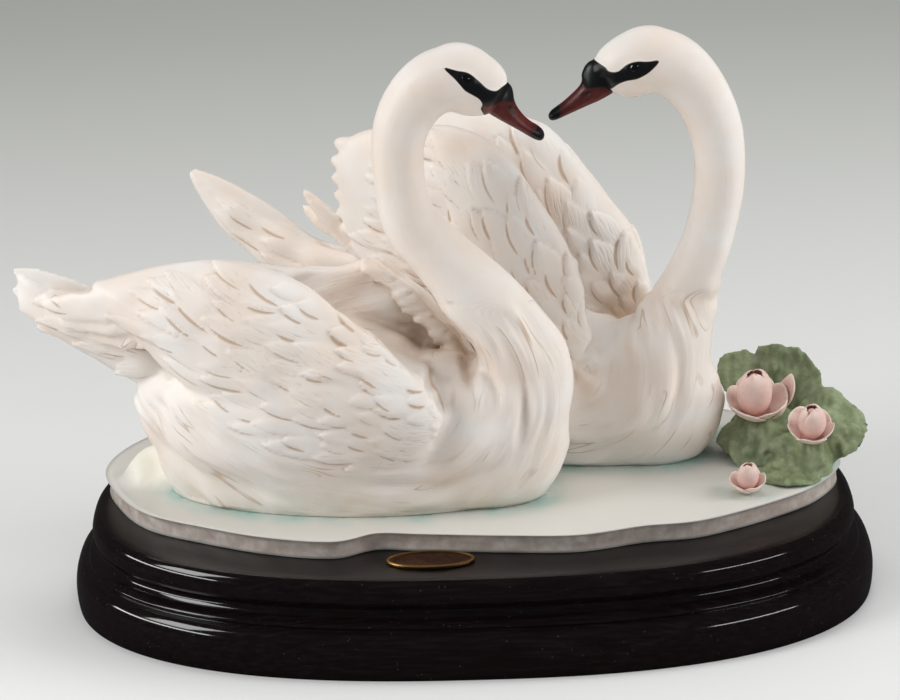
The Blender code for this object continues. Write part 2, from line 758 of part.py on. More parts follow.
def add_lily_pad(form, centre, radii, tilt, spin, cup, wave):
    """Thin round leaf, cupped and waved, tilted in the direction spin."""
    sheet = bmesh.new()
    rings = 5
    spokes = 28
    layers = []
    for ring in range(rings + 1):
        share = ring / rings
        layer = []
        for spoke in range(spokes):
            angle = 2 * math.pi * spoke / spokes
            lobe = 1.0 + 0.05 * math.sin(3 * angle + spin) + 0.03 * math.sin(5 * angle)
            x = radii[0] * share * lobe * math.cos(angle) * MM
            y = radii[1] * share * lobe * math.sin(angle) * MM
            ripple = wave * MM * share * share * math.sin(3 * angle + 1.0 + spin)
            layer.append((x, y, cup * MM * share * share + ripple))
            if ring == 0:
                break
        layers.append([sheet.verts.new(point) for point in layer])
    for spoke in range(spokes):
        after = (spoke + 1) % spokes
        sheet.faces.new((layers[0][0], layers[1][spoke], layers[1][after]))
        for lower, upper in zip(layers[1:], layers[2:]):
            sheet.faces.new((lower[spoke], upper[spoke], upper[after], lower[after]))
    bmesh.ops.recalc_face_normals(sheet, faces=sheet.faces)
    bmesh.ops.solidify(sheet, geom=sheet.faces[:], thickness=PAD_THICKNESS)
    lean = Vector((math.cos(math.radians(spin)), math.sin(math.radians(spin)), 0.0))
    axis = Vector((0.0, 0.0, 1.0)).cross(lean)
    turn = Quaternion(axis, math.radians(tilt)).to_matrix().to_4x4()
    sheet.transform(Matrix.Translation(Vector(centre) * MM) @ turn)
    mesh = bpy.data.meshes.new("pad_sheet")
    sheet.to_mesh(mesh)
    sheet.free()
    form.from_mesh(mesh)
    bpy.data.meshes.remove(mesh)


def build_lily_pads(collection):
    """Clump of leaves run together over a low mound, with heights above the pool."""
    leaf = make_material("lily_leaf_glaze", (0.21, 0.27, 0.17), 0.55)
    form = bmesh.new()
    add_lily_pad(form, (142, 50, 29), (14, 14), -48, 80, 2, 2)
    add_lily_pad(form, (161, 44, 26), (19, 22), -58, 70, 3, 3)
    add_lily_pad(form, (177, 8, 18), (21, 26), -28, 60, -4, 3)
    add_lily_pad(form, (148, 16, 15), (24, 17), -16, 60, -5, 2)
    add_lily_pad(form, (157, -16, 1.0), (14, 14), 0, 0, 0, 0.6)
    add_ball(form, (150 * MM, 34 * MM, 0.0), (19 * MM, 17 * MM, 22 * MM))
    add_ball(form, (172 * MM, 20 * MM, 0.0), (11 * MM, 22 * MM, 15 * MM))
    add_ball(form, (160 * MM, 0.0, 0.0), (12 * MM, 14 * MM, 5 * MM))
    for x, y, height in ((145.0, 13.0, LARGE_SEAT), (168.5, -12.0, MEDIUM_SEAT)):
        add_ball(form, (x * MM, y * MM, 0.0), (SEAT_WIDTH / 2, SEAT_WIDTH / 2, height))
    seat = Matrix.Translation((0.0, 0.0, CAST_BASE))
    return fuse("lily_pads", form, collection, leaf, LILY_GRAIN, PADS_FACETS, seat, 1)


def add_cup(form, radius, height, petals, phase, notch, flare):
    """Bowl of joined petals, open at the top."""
    sheet = bmesh.new()
    rings = 6
    spokes = 30
    layers = []
    for ring in range(rings + 1):
        share = ring / rings
        layer = []
        for spoke in range(spokes):
            angle = 2 * math.pi * spoke / spokes
            petal = abs(math.sin(petals * (angle + phase) / 2))
            spread = radius * math.sin(share * math.radians(90 + flare)) ** 0.8
            spread *= 1.0 + 0.10 * share * petal
            lift = height * share ** 1.7 * (1.0 - notch * share ** 3 * (1.0 - petal))
            layer.append((spread * math.cos(angle), spread * math.sin(angle), lift))
            if ring == 0:
                break
        layers.append([sheet.verts.new(point) for point in layer])
    for spoke in range(spokes):
        after = (spoke + 1) % spokes
        sheet.faces.new((layers[0][0], layers[1][spoke], layers[1][after]))
        for lower, upper in zip(layers[1:], layers[2:]):
            sheet.faces.new((lower[spoke], upper[spoke], upper[after], lower[after]))
    bmesh.ops.recalc_face_normals(sheet, faces=sheet.faces)
    bmesh.ops.solidify(sheet, geom=sheet.faces[:], thickness=PETAL_THICKNESS)
    mesh = bpy.data.meshes.new("cup_sheet")
    sheet.to_mesh(mesh)
    sheet.free()
    form.from_mesh(mesh)
    bpy.data.meshes.remove(mesh)


def flower_form(width):
    """Open outer petals round a wrapped bud."""
    form = bmesh.new()
    half = width / 2
    add_cup(form, half * 0.96, half * 0.95, 5, 0.4, 0.45, -6)
    add_cup(form, half * 0.60, half * 1.35, 3, 0.9, 0.30, 32)
    add_ball(form, (0.0, 0.0, half * 0.52), (half * 0.36, half * 0.36, half * 0.50))
    add_ball(form, (0.0, 0.0, half * 0.05), (half * 0.45, half * 0.45, half * 0.22))
    return form


def build_flower(name, width, place, tilt, collection):
    petal = make_material(name + "_petals", (0.72, 0.45, 0.42), 0.5)
    lean = Quaternion((1.0, 0.0, 0.0), math.radians(tilt)).to_matrix().to_4x4()
    seat = Matrix.Translation(Vector(place) * MM) @ lean
    return fuse(name, flower_form(width), collection, petal, FLOWER_GRAIN, FLOWER_FACETS, seat, 1)


def main():
    clear_scene()
    parts = make_collection("swan_figurine")
    build_plinth(parts)
    build_name_plate(parts)
    build_pool(parts)
    build_swans(parts)
    build_lily_pads(parts)
    base = CAST_BASE / MM
    large_height = base + (LARGE_SEAT + LARGE_FLOWER * 0.142) / MM
    build_flower("lily_large", LARGE_FLOWER, (144, 18, large_height), 35, parts)
    medium_height = base + (MEDIUM_SEAT + MEDIUM_FLOWER * 0.136) / MM
    build_flower("lily_medium", MEDIUM_FLOWER, (168, -8, medium_height), 30, parts)
    build_flower("lily_small", SMALL_FLOWER, (134.5, -33, base + 0.5), 10, parts)


main()
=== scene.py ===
"""Two cast swans on a pool with water lilies, mounted on an oval wooden plinth.

Run as a script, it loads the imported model, dresses it piece by piece and lights it.
Lengths are in metres unless a name says otherwise, +X runs along the plinth, +Y away
from the front and +Z up. Each swan is shaped in a frame of its own, in millimetres: its
origin is the middle of its waterline, its +X points to the breast and its +Z up.
"""
import math

import bmesh
import bpy
import numpy as np
from mathutils import Matrix, Quaternion, Vector, noise
from mathutils.bvhtree import BVHTree


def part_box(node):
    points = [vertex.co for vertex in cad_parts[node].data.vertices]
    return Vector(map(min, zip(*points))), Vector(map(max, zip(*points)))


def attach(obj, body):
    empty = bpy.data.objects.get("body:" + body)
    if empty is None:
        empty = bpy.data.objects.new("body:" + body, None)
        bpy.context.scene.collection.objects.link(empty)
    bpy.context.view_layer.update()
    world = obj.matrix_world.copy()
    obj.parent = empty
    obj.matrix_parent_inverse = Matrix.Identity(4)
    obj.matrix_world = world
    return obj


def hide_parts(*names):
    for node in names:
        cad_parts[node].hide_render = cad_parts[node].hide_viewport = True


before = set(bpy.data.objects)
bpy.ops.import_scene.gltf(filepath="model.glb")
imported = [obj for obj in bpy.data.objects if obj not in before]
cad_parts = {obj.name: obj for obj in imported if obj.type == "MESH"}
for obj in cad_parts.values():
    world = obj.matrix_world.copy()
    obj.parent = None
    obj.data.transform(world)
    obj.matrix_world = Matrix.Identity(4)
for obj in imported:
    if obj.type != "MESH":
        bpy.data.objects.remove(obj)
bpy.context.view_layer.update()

bl_info = {
    "name": "Swan figurine",
    "version": (1, 0, 0),
    "blender": (4, 5, 0),
    "location": "3D View > Sidebar > Swans",
    "description": "Cast swans on a pool with water lilies, on an oval wooden plinth",
    "category": "Add Mesh",
}

MM = 0.001
TO_METRES = Matrix.Diagonal((MM, MM, MM, 1.0))
CAST_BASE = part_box("front_swan")[0].z
POOL_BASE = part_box("pool")[0].z
PLINTH_LOW, PLINTH_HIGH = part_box("plinth")
PLATE_LOW, PLATE_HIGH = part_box("name_plate")

# Places of the swans on the pool, in millimetres, and their headings in degrees
FRONT_PLACE = (-58.0, -14.0, -6.0)
REAR_PLACE = (30.0, 50.0, -20.0)
# Spacing and smoothing rounds of the first, rough fusing of a body, in millimetres
ROUGH_GRAIN, ROUGH_ROUNDS = 2.2, 12
# Places of the eyes ahead of and above each crown, in millimetres
FRONT_EYE = (-0.8, 2.6)
REAR_EYE = (6.2, 3.2)
# Half the pool's length and depth, its thickness and its shift to the back, in millimetres
POOL_HALF = (183.0, 87.0)
POOL_THICK = 9.4
POOL_SHIFT = 11
# The photograph's camera: width and focal length in pixels, angles in degrees, metres
PHOTO_WIDTH, FOCAL_PIXELS = 900, 3039.5
CAMERA_PITCH, CAMERA_ROLL = 20, -1.587
CAMERA_AIM, CAMERA_AWAY = (-0.0093, 0, 0.1219), 1.5
SENSOR_WIDTH = 36


# Colours

def linear(code):
    """Linear colour of an sRGB hex code."""
    values = []
    for start in (1, 3, 5):
        share = int(code[start:start + 2], 16) / 255
        values.append(share / 12.92 if share <= 0.04045 else ((share + 0.055) / 1.055) ** 2.4)
    return tuple(values)


def colour_property(name, description, code):
    return bpy.props.FloatVectorProperty(
        name=name, description=description, default=linear(code), subtype="COLOR", size=3,
        min=0.0, max=1.0,
    )


def length_property(name, description, millimetres):
    return bpy.props.FloatProperty(
        name=name, description=description, default=millimetres * MM, min=0.0,
        subtype="DISTANCE", unit="LENGTH", precision=4,
    )


class SwanSizes(bpy.types.PropertyGroup):
    """Sizes that a user would change."""

    grain: length_property("Grain", "Spacing of the cast surface's points", 1.27)
    neck: length_property("Neck", "Thickness of each neck at its middle", 25.0)
    head: length_property("Head", "Width of each head", 30.0)
    eye: length_property("Eye", "Length of each eye", 6.4)
    feather_lift: length_property("Feather lift", "Height of a carved feather's tip", 1.5)
    petal: length_property("Petal", "Thickness of a petal", 1.1)
    leaf: length_property("Leaf", "Thickness of a lily leaf", 2.2)


class SwanColours(bpy.types.PropertyGroup):
    """Colours that a user would change."""

    resin: colour_property("Resin", "Warm white of the cast resin", "#F3EEE8")
    blush: colour_property("Blush", "Cream tint that clouds the resin", "#F0DFD0")
    wash: colour_property("Wash", "Tan wash left in the carved grooves", "#BE9A76")
    # Painted shade: this tan darkens the hollows by occlusion
    hollow_shade: colour_property("Hollow", "Wash in the deep hollows", "#B89A7C")
    mask: colour_property("Mask", "Painted mask, knob and nail", "#141518")
    bill: colour_property("Bill", "Painted bill", "#5C231F")
    water: colour_property("Water", "Milky white of the pool", "#D9D6CE")
    # Partly painted shade: the pool's upright edge is darker than its top
    teal: colour_property("Teal", "Aqua wash beside the swans", "#A9C9C1")
    edge: colour_property("Pool edge", "Grey pink of the pool's edge", "#B3A59B")
    leaf: colour_property("Leaf", "Sage green of the leaves", "#97A380")
    leaf_dark: colour_property("Leaf shade", "Olive wash on the leaves", "#65714C")
    petal: colour_property("Petal", "Pale pink of the petals", "#EFD9CD")
    petal_core: colour_property("Petal core", "Deeper pink in the cups", "#D6A59D")
    lacquer: colour_property("Lacquer", "Stained wood under the lacquer", "#0F090A")
    brass: colour_property("Brass", "Metal of the plate", "#B08C50")
    floor: colour_property("Floor", "Paper near the figurine", "#E6E6E5")
    # Painted shade: the paper darkens far behind as the light falls off
    floor_far_shade: colour_property("Floor far", "Paper far behind it", "#CDCFC8")


# Nodes

def add_node(tree, kind, settings=None):
    """Add one node, set its properties and sockets, and link the sockets it is given.

    Settings go by the name of a property or by the name or number of an input.
    """
    node = tree.nodes.new("ShaderNode" + kind)
    for name, value in (settings or {}).items():
        if isinstance(value, bpy.types.NodeSocket):
            tree.links.new(value, node.inputs[name])
        elif isinstance(name, str) and hasattr(node, name):
            setattr(node, name, value)
        elif node.inputs[name].type == "RGBA":
            node.inputs[name].default_value = (*tuple(value)[:3], 1.0)
        else:
            node.inputs[name].default_value = value
    return node


def start_material(name, roughness, metallic=0.0):
    material = bpy.data.materials.new(name)
    material.use_nodes = True
    shader = material.node_tree.nodes["Principled BSDF"]
    shader.inputs["Roughness"].default_value = roughness
    shader.inputs["Metallic"].default_value = metallic
    return material, material.node_tree, shader


def lay_washes(tree, colour, washes):
    """Colour under washes of (source, low, high, strength, tint), bare at low, full at high."""
    for source, low, high, strength, tint in washes:
        share = add_node(tree, "MapRange", {
            "Value": source, "From Min": low, "From Max": high, "To Max": strength,
        }).outputs[0]
        colour = add_node(tree, "Mix", {"data_type": "RGBA", 0: share, 6: colour, 7: tint}).outputs[2]
    return colour


# Curves and solids

def smooth_value(before, start, end, after, share):
    """Catmull-Rom value between start and end."""
    square = share * share
    cube = square * share
    return (
        start * (2 * cube - 3 * square + 1) + (end - before) * 0.5 * (cube - 2 * square + share)
        + end * (3 * square - 2 * cube) + (after - start) * 0.5 * (cube - square)
    )


def smooth_path(controls, steps):
    """Points along an open curve, with steps points to each pair of controls."""
    controls = [Vector(point) for point in controls]
    padded = [controls[0] * 2 - controls[1], *controls, controls[-1] * 2 - controls[-2]]
    path = []
    for index in range(1, len(padded) - 2):
        for step in range(steps):
            path.append(smooth_value(*padded[index - 1:index + 3], step / steps))
    path.append(controls[-1])
    return path


def smooth_loop(controls, steps):
    """Points round a closed curve through the controls."""
    controls = [Vector(point) for point in controls]
    count = len(controls)
    loop = []
    for index in range(count):
        ends = [controls[(index + offset) % count] for offset in (-1, 0, 1, 2)]
        for step in range(steps):
            loop.append(smooth_value(*ends, step / steps))
    return loop


def add_rings(form, rings):
    """Skin a stack of rings of equal count and close both ends."""
    layers = [[form.verts.new(point) for point in ring] for ring in rings]
    count = len(layers[0])
    for lower, upper in zip(layers, layers[1:]):
        for index in range(count):
            after = (index + 1) % count
            form.faces.new((lower[index], lower[after], upper[after], upper[index]))
    form.faces.new(layers[0][::-1])
    form.faces.new(layers[-1])


def add_ball(form, centre, radii, turn=None, segments=48, rings=32):
    """Ellipsoid with its own semi-axes, turned by an optional rotation matrix."""
    place = Matrix.Translation(centre)
    if turn is not None:
        place = place @ turn.to_4x4()
    place = place @ Matrix.Diagonal((*radii, 1.0))
    bmesh.ops.create_uvsphere(form, u_segments=segments, v_segments=rings, radius=1.0, matrix=place)


def frame_along(direction, upward):
    """Rotation whose X axis follows direction and whose Z axis stays near upward."""
    ahead = Vector(direction).normalized()
    side = Vector(upward).cross(ahead).normalized()
    return Matrix((ahead, side, ahead.cross(side))).transposed()


def add_quill(form, root, tip, width, thickness, outward):
    """One long feather: a flattened ellipsoid from root to tip."""
    root, tip = Vector(root), Vector(tip)
    turn = frame_along(tip - root, outward)
    radii = ((tip - root).length / 2, width / 2, thickness / 2)
    add_ball(form, (root + tip) / 2, radii, turn, 20, 12)


def add_tube(form, stations, sides=40):
    """Tube through (point, radius) stations."""
    rings = []
    count = len(stations)
    side = Vector((0.0, 1.0, 0.0))
    for index, (point, radius) in enumerate(stations):
        ahead = (stations[min(index + 1, count - 1)][0] - stations[max(index - 1, 0)][0]).normalized()
        side = (side - ahead * side.dot(ahead)).normalized()
        above = ahead.cross(side)
        angles = [2 * math.pi * step / sides for step in range(sides)]
        rings.append([point + (side * math.cos(a) + above * math.sin(a)) * radius for a in angles])
    add_rings(form, rings)


def fused(form, grain, rounds):
    """New bmesh of the form's solids run together in one skin and smoothed."""
    mesh = bpy.data.meshes.new("rough")
    form.to_mesh(mesh)
    form.free()
    rough = bpy.data.objects.new("rough", mesh)
    bpy.context.scene.collection.objects.link(rough)
    remesh = rough.modifiers.new("Fuse", "REMESH")
    remesh.mode = "VOXEL"
    remesh.voxel_size = grain
    soften = rough.modifiers.new("Soften", "SMOOTH")
    soften.factor = 0.5
    soften.iterations = rounds
    graph = bpy.context.evaluated_depsgraph_get()
    skin = bmesh.new()
    skin.from_mesh(rough.evaluated_get(graph).to_mesh())
    bpy.data.objects.remove(rough, do_unlink=True)
    bpy.data.meshes.remove(mesh)
    return skin


def keep_largest(form):
    """Drop the skins of any pockets shut inside the outer one."""
    unseen = set(form.faces)
    shells = []
    while unseen:
        seed = unseen.pop()
        shell = [seed]
        front = [seed]
        while front:
            for edge in front.pop().edges:
                for near in edge.link_faces:
                    if near in unseen:
                        unseen.remove(near)
                        shell.append(near)
                        front.append(near)
        shells.append(shell)
    shells.sort(key=len, reverse=True)
    spare = [face for shell in shells[1:] for face in shell]
    bmesh.ops.delete(form, geom=spare, context="FACES")


def cut_flat(form, height):
    """Slice the form level at the given height and cap the cut."""
    bmesh.ops.bisect_plane(
        form, geom=form.verts[:] + form.edges[:] + form.faces[:], dist=0.0001,
        plane_co=(0.0, 0.0, height), plane_no=(0.0, 0.0, -1.0), clear_outer=True,
    )
    bmesh.ops.holes_fill(form, edges=[edge for edge in form.edges if edge.is_boundary], sides=0)


def make_piece(name, form, material, replaced=(), place=None):
    """Turn a bmesh into a smooth piece, carried to its place where one is given."""
    if place is not None:
        form.transform(place)
    mesh = bpy.data.meshes.new(name)
    form.to_mesh(mesh)
    form.free()
    seat_piece(name, mesh, material, replaced)


def seat_piece(name, mesh, material, replaced=()):
    """Finish a mesh as a smooth piece that rides on the figurine's one body."""
    mesh.materials.clear()
    mesh.materials.append(material)
    mesh.shade_smooth()
    piece = bpy.data.objects.new(name, mesh)
    bpy.context.scene.collection.objects.link(piece)
    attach(piece, "root")
    if replaced:
        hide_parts(*replaced)


# Arrays over a mesh

def ramp(low, high, value):
    """Smooth step from 0 at low to 1 at high."""
    share = np.clip((value - low) / (high - low), 0.0, 1.0)
    return share * share * (3 - 2 * share)


def outline_distance(points, outline):
    """Signed distance of 2-D points to a closed outline, negative inside."""
    points = np.asarray(points)[:, None, :]
    start = np.asarray(outline, float)
    edge = np.roll(start, -1, axis=0) - start
    away = points - start
    share = np.clip((away * edge).sum(2) / (edge * edge).sum(1), 0.0, 1.0)
    distance = np.sqrt(((away - share[..., None] * edge) ** 2).sum(2)).min(1)
    level = points[..., 1]
    above = start[:, 1] > level
    above_end = np.roll(start, -1, axis=0)[:, 1] > level
    slope = edge[:, 0] / np.where(edge[:, 1] == 0, 1e-9, edge[:, 1])
    crossing = (above != above_end) & (points[..., 0] < start[:, 0] + slope * (level - start[:, 1]))
    inside = crossing.sum(1) % 2 == 1
    return np.where(inside, -distance, distance)


class Skin:
    """A mesh's points, edges and normals as arrays."""

    def __init__(self, form):
        self.mesh = bpy.data.meshes.new("skin")
        form.to_mesh(self.mesh)
        form.free()
        count = len(self.mesh.vertices)
        flat = np.empty(count * 3)
        self.mesh.vertices.foreach_get("co", flat)
        self.points = flat.reshape(-1, 3)
        edges = np.empty(len(self.mesh.edges) * 2, dtype=np.int64)
        self.mesh.edges.foreach_get("vertices", edges)
        self.edges = edges.reshape(-1, 2)
        self.degree = np.maximum(np.bincount(edges, minlength=count), 1)

    def around(self, values):
        """Mean of each point's neighbours."""
        count = len(self.degree)
        first, second = self.edges.T
        total = np.bincount(first, values[second], count) + np.bincount(second, values[first], count)
        return total / self.degree

    def relax(self, weight, rounds):
        """Smooth the surface where weight is high."""
        for _ in range(rounds):
            for axis in range(3):
                here = self.points[:, axis]
                here += (self.around(here) - here) * weight * 0.6

    def blurred(self, values, rounds):
        for _ in range(rounds):
            values = 0.5 * values + 0.5 * self.around(values)
        return values

    def normals(self):
        """Vertex normals of the present shape."""
        self.mesh.vertices.foreach_set("co", self.points.ravel())
        self.mesh.update()
        flat = np.empty(len(self.points) * 3)
        self.mesh.vertex_normals.foreach_get("vector", flat)
        return flat.reshape(-1, 3)

    def push(self, heights):
        """Move each point along its normal."""
        self.points += self.normals() * heights[:, None]

    def noise(self, coordinates):
        """Smooth noise, about -0.7 to 0.7, at one 3-D coordinate for each point."""
        return np.array([noise.noise(spot) for spot in coordinates.tolist()])

    def recess(self, reach):
        """Share of the view from each point that nearby surface shuts off."""
        normals = self.normals()
        faces = [tuple(face.vertices) for face in self.mesh.polygons]
        tree = BVHTree.FromPolygons(self.points.tolist(), faces)
        golden = math.pi * (3 - math.sqrt(5))
        looks = []
        for index in range(16):
            height = 1 - (index + 0.5) / 8
            around = math.sqrt(max(0.0, 1 - height * height))
            looks.append((around * math.cos(golden * index), around * math.sin(golden * index), height))
        facing = normals @ np.array(looks).T
        shut = np.zeros(len(self.points))
        starts = (self.points + normals * 0.6).tolist()
        looked = np.arange(len(self.points)) % 3 == 0
        for index, look in enumerate(looks):
            for spot in np.nonzero(looked & (facing[:, index] > 0.2))[0].tolist():
                if tree.ray_cast(starts[spot], look, reach)[0] is not None:
                    shut[spot] += facing[spot, index]
        shut /= np.maximum(np.where(facing > 0.2, facing, 0).sum(1), 0.001)
        share = looked.astype(float)
        for _ in range(4):
            shut += self.around(shut)
            share += self.around(share)
        return shut / np.maximum(share, 0.001)

    def store(self, name, values):
        kind = "FLOAT_VECTOR" if values.ndim == 2 else "FLOAT"
        field = self.mesh.attributes.new(name, kind, "POINT")
        key = "vector" if values.ndim == 2 else "value"
        field.data.foreach_set(key, np.ascontiguousarray(values, dtype=np.float32).ravel())

    def seated(self, place):
        """The mesh with its final points, carried from millimetres to its place in metres."""
        self.mesh.vertices.foreach_set("co", self.points.ravel())
        self.mesh.transform(place @ TO_METRES)
        self.mesh.update()
        return self.mesh


# Swans

class Wing:
    """A folded or raised wing: a swollen pad on a side-view outline in millimetres."""

    RIM = 2.4  # Half the pad's thickness at its rim

    def __init__(self, side, outline, hub, wrist, stand, lean_x, lean_z, swell_out, swell_in,
                 inner=0.0, crease=None):
        self.side = side
        self.inner = inner
        self.crease = crease
        self.loop = [point.xy for point in smooth_loop([(x, z, 0.0) for x, z in outline], 6)]
        self.hub = Vector(hub)
        self.wrist = Vector(wrist)
        self.stand = stand
        self.lean = (lean_x, lean_z)
        self.swell_out = swell_out
        self.swell_in = swell_in
        spokes = np.array([tuple(point - self.hub) for point in self.loop])
        angles = np.arctan2(spokes[:, 1], spokes[:, 0])
        order = np.argsort(angles)
        self.rim_angles = angles[order]
        self.rim_lengths = np.hypot(*spokes.T)[order]

    def reach(self, x, z):
        """Share of the way from the hub to the rim, 1 on the rim."""
        angle = np.arctan2(z - self.hub.y, x - self.hub.x)
        rim = np.interp(angle, self.rim_angles, self.rim_lengths, period=2 * math.pi)
        return np.hypot(x - self.hub.x, z - self.hub.y) / rim

    def add_pad(self, form):
        rings = []
        shares = (0.1, 0.25, 0.4, 0.55, 0.68, 0.79, 0.88, 0.94, 0.98, 1.0)
        for outward in (True, False):
            for share in shares if outward else shares[::-1]:
                dome = max(0.0, 1.0 - share * share) ** 0.6
                ring = []
                for rim in self.loop:
                    spot = self.hub.lerp(rim, share)
                    depth = self.stand + self.lean[0] * (spot.x - self.hub.x)
                    depth += self.lean[1] * (spot.y - self.hub.y)
                    if outward:
                        depth += self.RIM + self.swell_out * dome
                    else:
                        depth -= self.RIM + self.swell_in * dome
                    ring.append(Vector((spot.x, self.side * depth, spot.y)))
                rings.append(ring)
        add_rings(form, rings)

    def feathers(self, rows, heading, spread, seed):
        """Staggered rows of (tip, direction, length, width, lift) across the wing.

        Each row is (distance of the tips from the wrist, length, width, lift).
        """
        pick = np.random.default_rng(seed)
        along = Vector((math.cos(math.radians(heading)), math.sin(math.radians(heading))))
        across = Vector((-along.y, along.x))
        origin = self.wrist - along * spread
        plumes = []
        for number, (distance, length, width, lift) in enumerate(rows):
            for index in range(-14, 15):
                shift = (index + 0.5 * (number % 2) + pick.uniform(-0.26, 0.26)) * width * 0.86
                tip = self.wrist + along * (distance + pick.uniform(-0.20, 0.20) * length) + across * shift
                turn = pick.uniform(-0.24, 0.24)
                scale = pick.uniform(0.80, 1.30)
                if float(self.reach(tip.x, tip.y)) > 1.02:
                    continue
                run = (tip - origin).normalized()
                run = Vector((run.x * math.cos(turn) - run.y * math.sin(turn),
                              run.x * math.sin(turn) + run.y * math.cos(turn)))
                plumes.append((tip, run, length * scale, width * scale, lift * pick.uniform(0.60, 1.25)))
        return plumes


def plumage(x, z, plumes):
    """Height, place along and across the topmost feather, and its number, at each point."""
    height = np.zeros(len(x))
    along = np.zeros(len(x))
    across = np.zeros(len(x))
    owner = np.zeros(len(x))
    for number, (tip, run, length, width, lift) in enumerate(plumes):
        forward = (x - tip.x) * run.x + (z - tip.y) * run.y
        sideways = (z - tip.y) * run.x - (x - tip.x) * run.y
        share = 1 + forward / length
        near = np.nonzero((share > 0) & (share < 1) & (np.abs(sideways) < width / 2))[0]
        share, forward, sideways = share[near], forward[near], sideways[near]
        half = np.maximum(width / 2 * np.sqrt(np.clip(1 - ramp(0.35, 1.0, share) ** 2, 0, 1)), 1e-3)
        off = sideways / half
        # The lower edge stands proud, as the feather above laps over the one below
        rise = lift * (0.12 + 0.88 * share) * (0.80 + 0.20 * off) * (1 - 0.42 * off ** 2)
        rise *= np.clip(1 - np.abs(off) ** 7, 0, 1) ** 0.5
        top = (np.abs(off) < 1) & (rise > height[near])
        chosen = near[top]
        height[chosen] = rise[top]
        along[chosen] = forward[top]
        across[chosen] = sideways[top]
        owner[chosen] = number + 1
    return height, along, across, owner


def crescents(x, z, plumes, height):
    """Signed distance to the nearest feather border in view, and half its groove's width."""
    gap = np.full(len(x), 9.0)
    half = np.zeros(len(x))
    owner = np.zeros(len(x))
    for number, (tip, run, length, width, lift) in enumerate(plumes):
        forward = (x - tip.x) * run.x + (z - tip.y) * run.y
        sideways = (z - tip.y) * run.x - (x - tip.x) * run.y
        share = 1 + forward / length
        near = np.nonzero((share > 0.25) & (share < 1.15) & (np.abs(sideways) < width * 0.8))[0]
        share, off = share[near], sideways[near] / (width / 2)
        part = np.clip((share - 0.35) / 0.65, 0, 1.2)
        bend = part * part * (3 - 2 * part)
        form = off ** 2 + bend ** 2 - 1
        slope = np.hypot(4 * off / width, 2 * bend * 6 * part * (1 - part) / 0.65 / length)
        away = form / np.maximum(slope, 0.08)
        strength = 0.18 + 0.82 * math.sin(number * 2.399) ** 2
        wide = 0.80 * strength * ramp(0.30, 0.55, share) * ramp(0.2, 0.8, off) * ramp(1.04, 0.84, share)
        hidden = height[near] > lift * (0.15 + 0.85 * np.clip(share, 0, 1)) + 0.10 * lift
        wide = np.where(hidden, 0, wide)
        better = np.abs(away) - wide < np.abs(gap[near]) - half[near]
        better &= wide > 0.02
        chosen = near[better]
        gap[chosen] = away[better]
        half[chosen] = wide[better]
        owner[chosen] = number + 1
    return gap, half, owner


def add_body(form, breast_x, rump_x):
    """Hull, breast and rump as ellipsoids that the fusing runs together."""
    add_ball(form, (-4, 0, 20), (95, 41, 54))
    add_ball(form, (breast_x, 0, 26), (47, 34, 40))
    add_ball(form, (rump_x, 0, 44), (44, 26.6, 36))


def add_neck(form, controls, thickness):
    """Neck and crown as one tube; controls are (x, y, z, thickness share)."""
    places = smooth_path([point[:3] for point in controls], 10)
    shares = smooth_path([Vector((point[3], 0, 0)) for point in controls], 10)
    add_tube(form, [(place, share.x * thickness / 2) for place, share in zip(places, shares)])
    return places


class Head:
    """The head's own frame: ahead to the bill's tip, side and above."""

    def __init__(self, crown, bill_tip, width):
        self.crown = Vector(crown)
        self.turn = frame_along(Vector(bill_tip) - self.crown, (0, 0, 1))
        self.ahead, self.side, self.above = (self.turn.col[index] for index in range(3))
        self.half = width / 2

    def add_skull(self, form, knob, top):
        """Skull, and the brow and cheeks that ease it into the bill's knob."""
        add_ball(form, self.crown + self.ahead * self.half * 0.15,
                 (self.half * 1.38, self.half, self.half * 1.08), self.turn)
        add_ball(form, self.spot(knob - 5, 0, top - 6.6), (9.0, 6.8, 5.8), self.turn)
        add_ball(form, self.spot(knob - 1.5, 0, top - 6.0), (6.2, 6.2, 5.4), self.turn)

    def local(self, points):
        """Points in the head's frame: ahead, side and above."""
        return (points - np.array(self.crown)) @ np.array(self.turn)

    def spot(self, ahead, side, above):
        return self.crown + self.ahead * ahead + self.side * side + self.above * above


FRONT_NECK = (
    (74.0, 0.0, 36.0, 2.55), (86.0, 1.0, 62.0, 1.72), (69.5, 1.0, 92.6, 1.55),
    (47.4, 1.2, 118.7, 1.22), (32.0, 1.5, 136.9, 1.10), (27.6, 2.2, 151.5, 1.02),
    (26.0, 2.8, 169.3, 1.03), (28.0, 4.0, 184.6, 1.09), (35.2, 4.8, 198.0, 1.16),
    (45.0, 6.6, 205.8, 1.24), (56.0, 8.0, 207.4, 1.26), (66.5, 9.2, 202.8, 1.16),
    (72.5, 10.4, 197.6, 0.88),
)
REAR_NECK = (
    (62.0, 0.0, 32.0, 2.55), (73.0, 0.0, 56.0, 1.97), (82.5, 0.0, 80.0, 1.38),
    (88.5, 0.0, 97.0, 1.10), (95.3, -0.5, 115.0, 1.01), (100.5, -0.7, 138.7, 1.00),
    (101.4, -1.4, 156.8, 1.02), (99.0, -3.4, 174.3, 1.08), (92.0, -7.0, 191.5, 1.14),
    (82.0, -11.5, 203.5, 1.24), (69.5, -16.8, 208.0, 1.28), (57.5, -22.3, 204.0, 1.16),
    (50.5, -25.8, 199.6, 0.88),
)

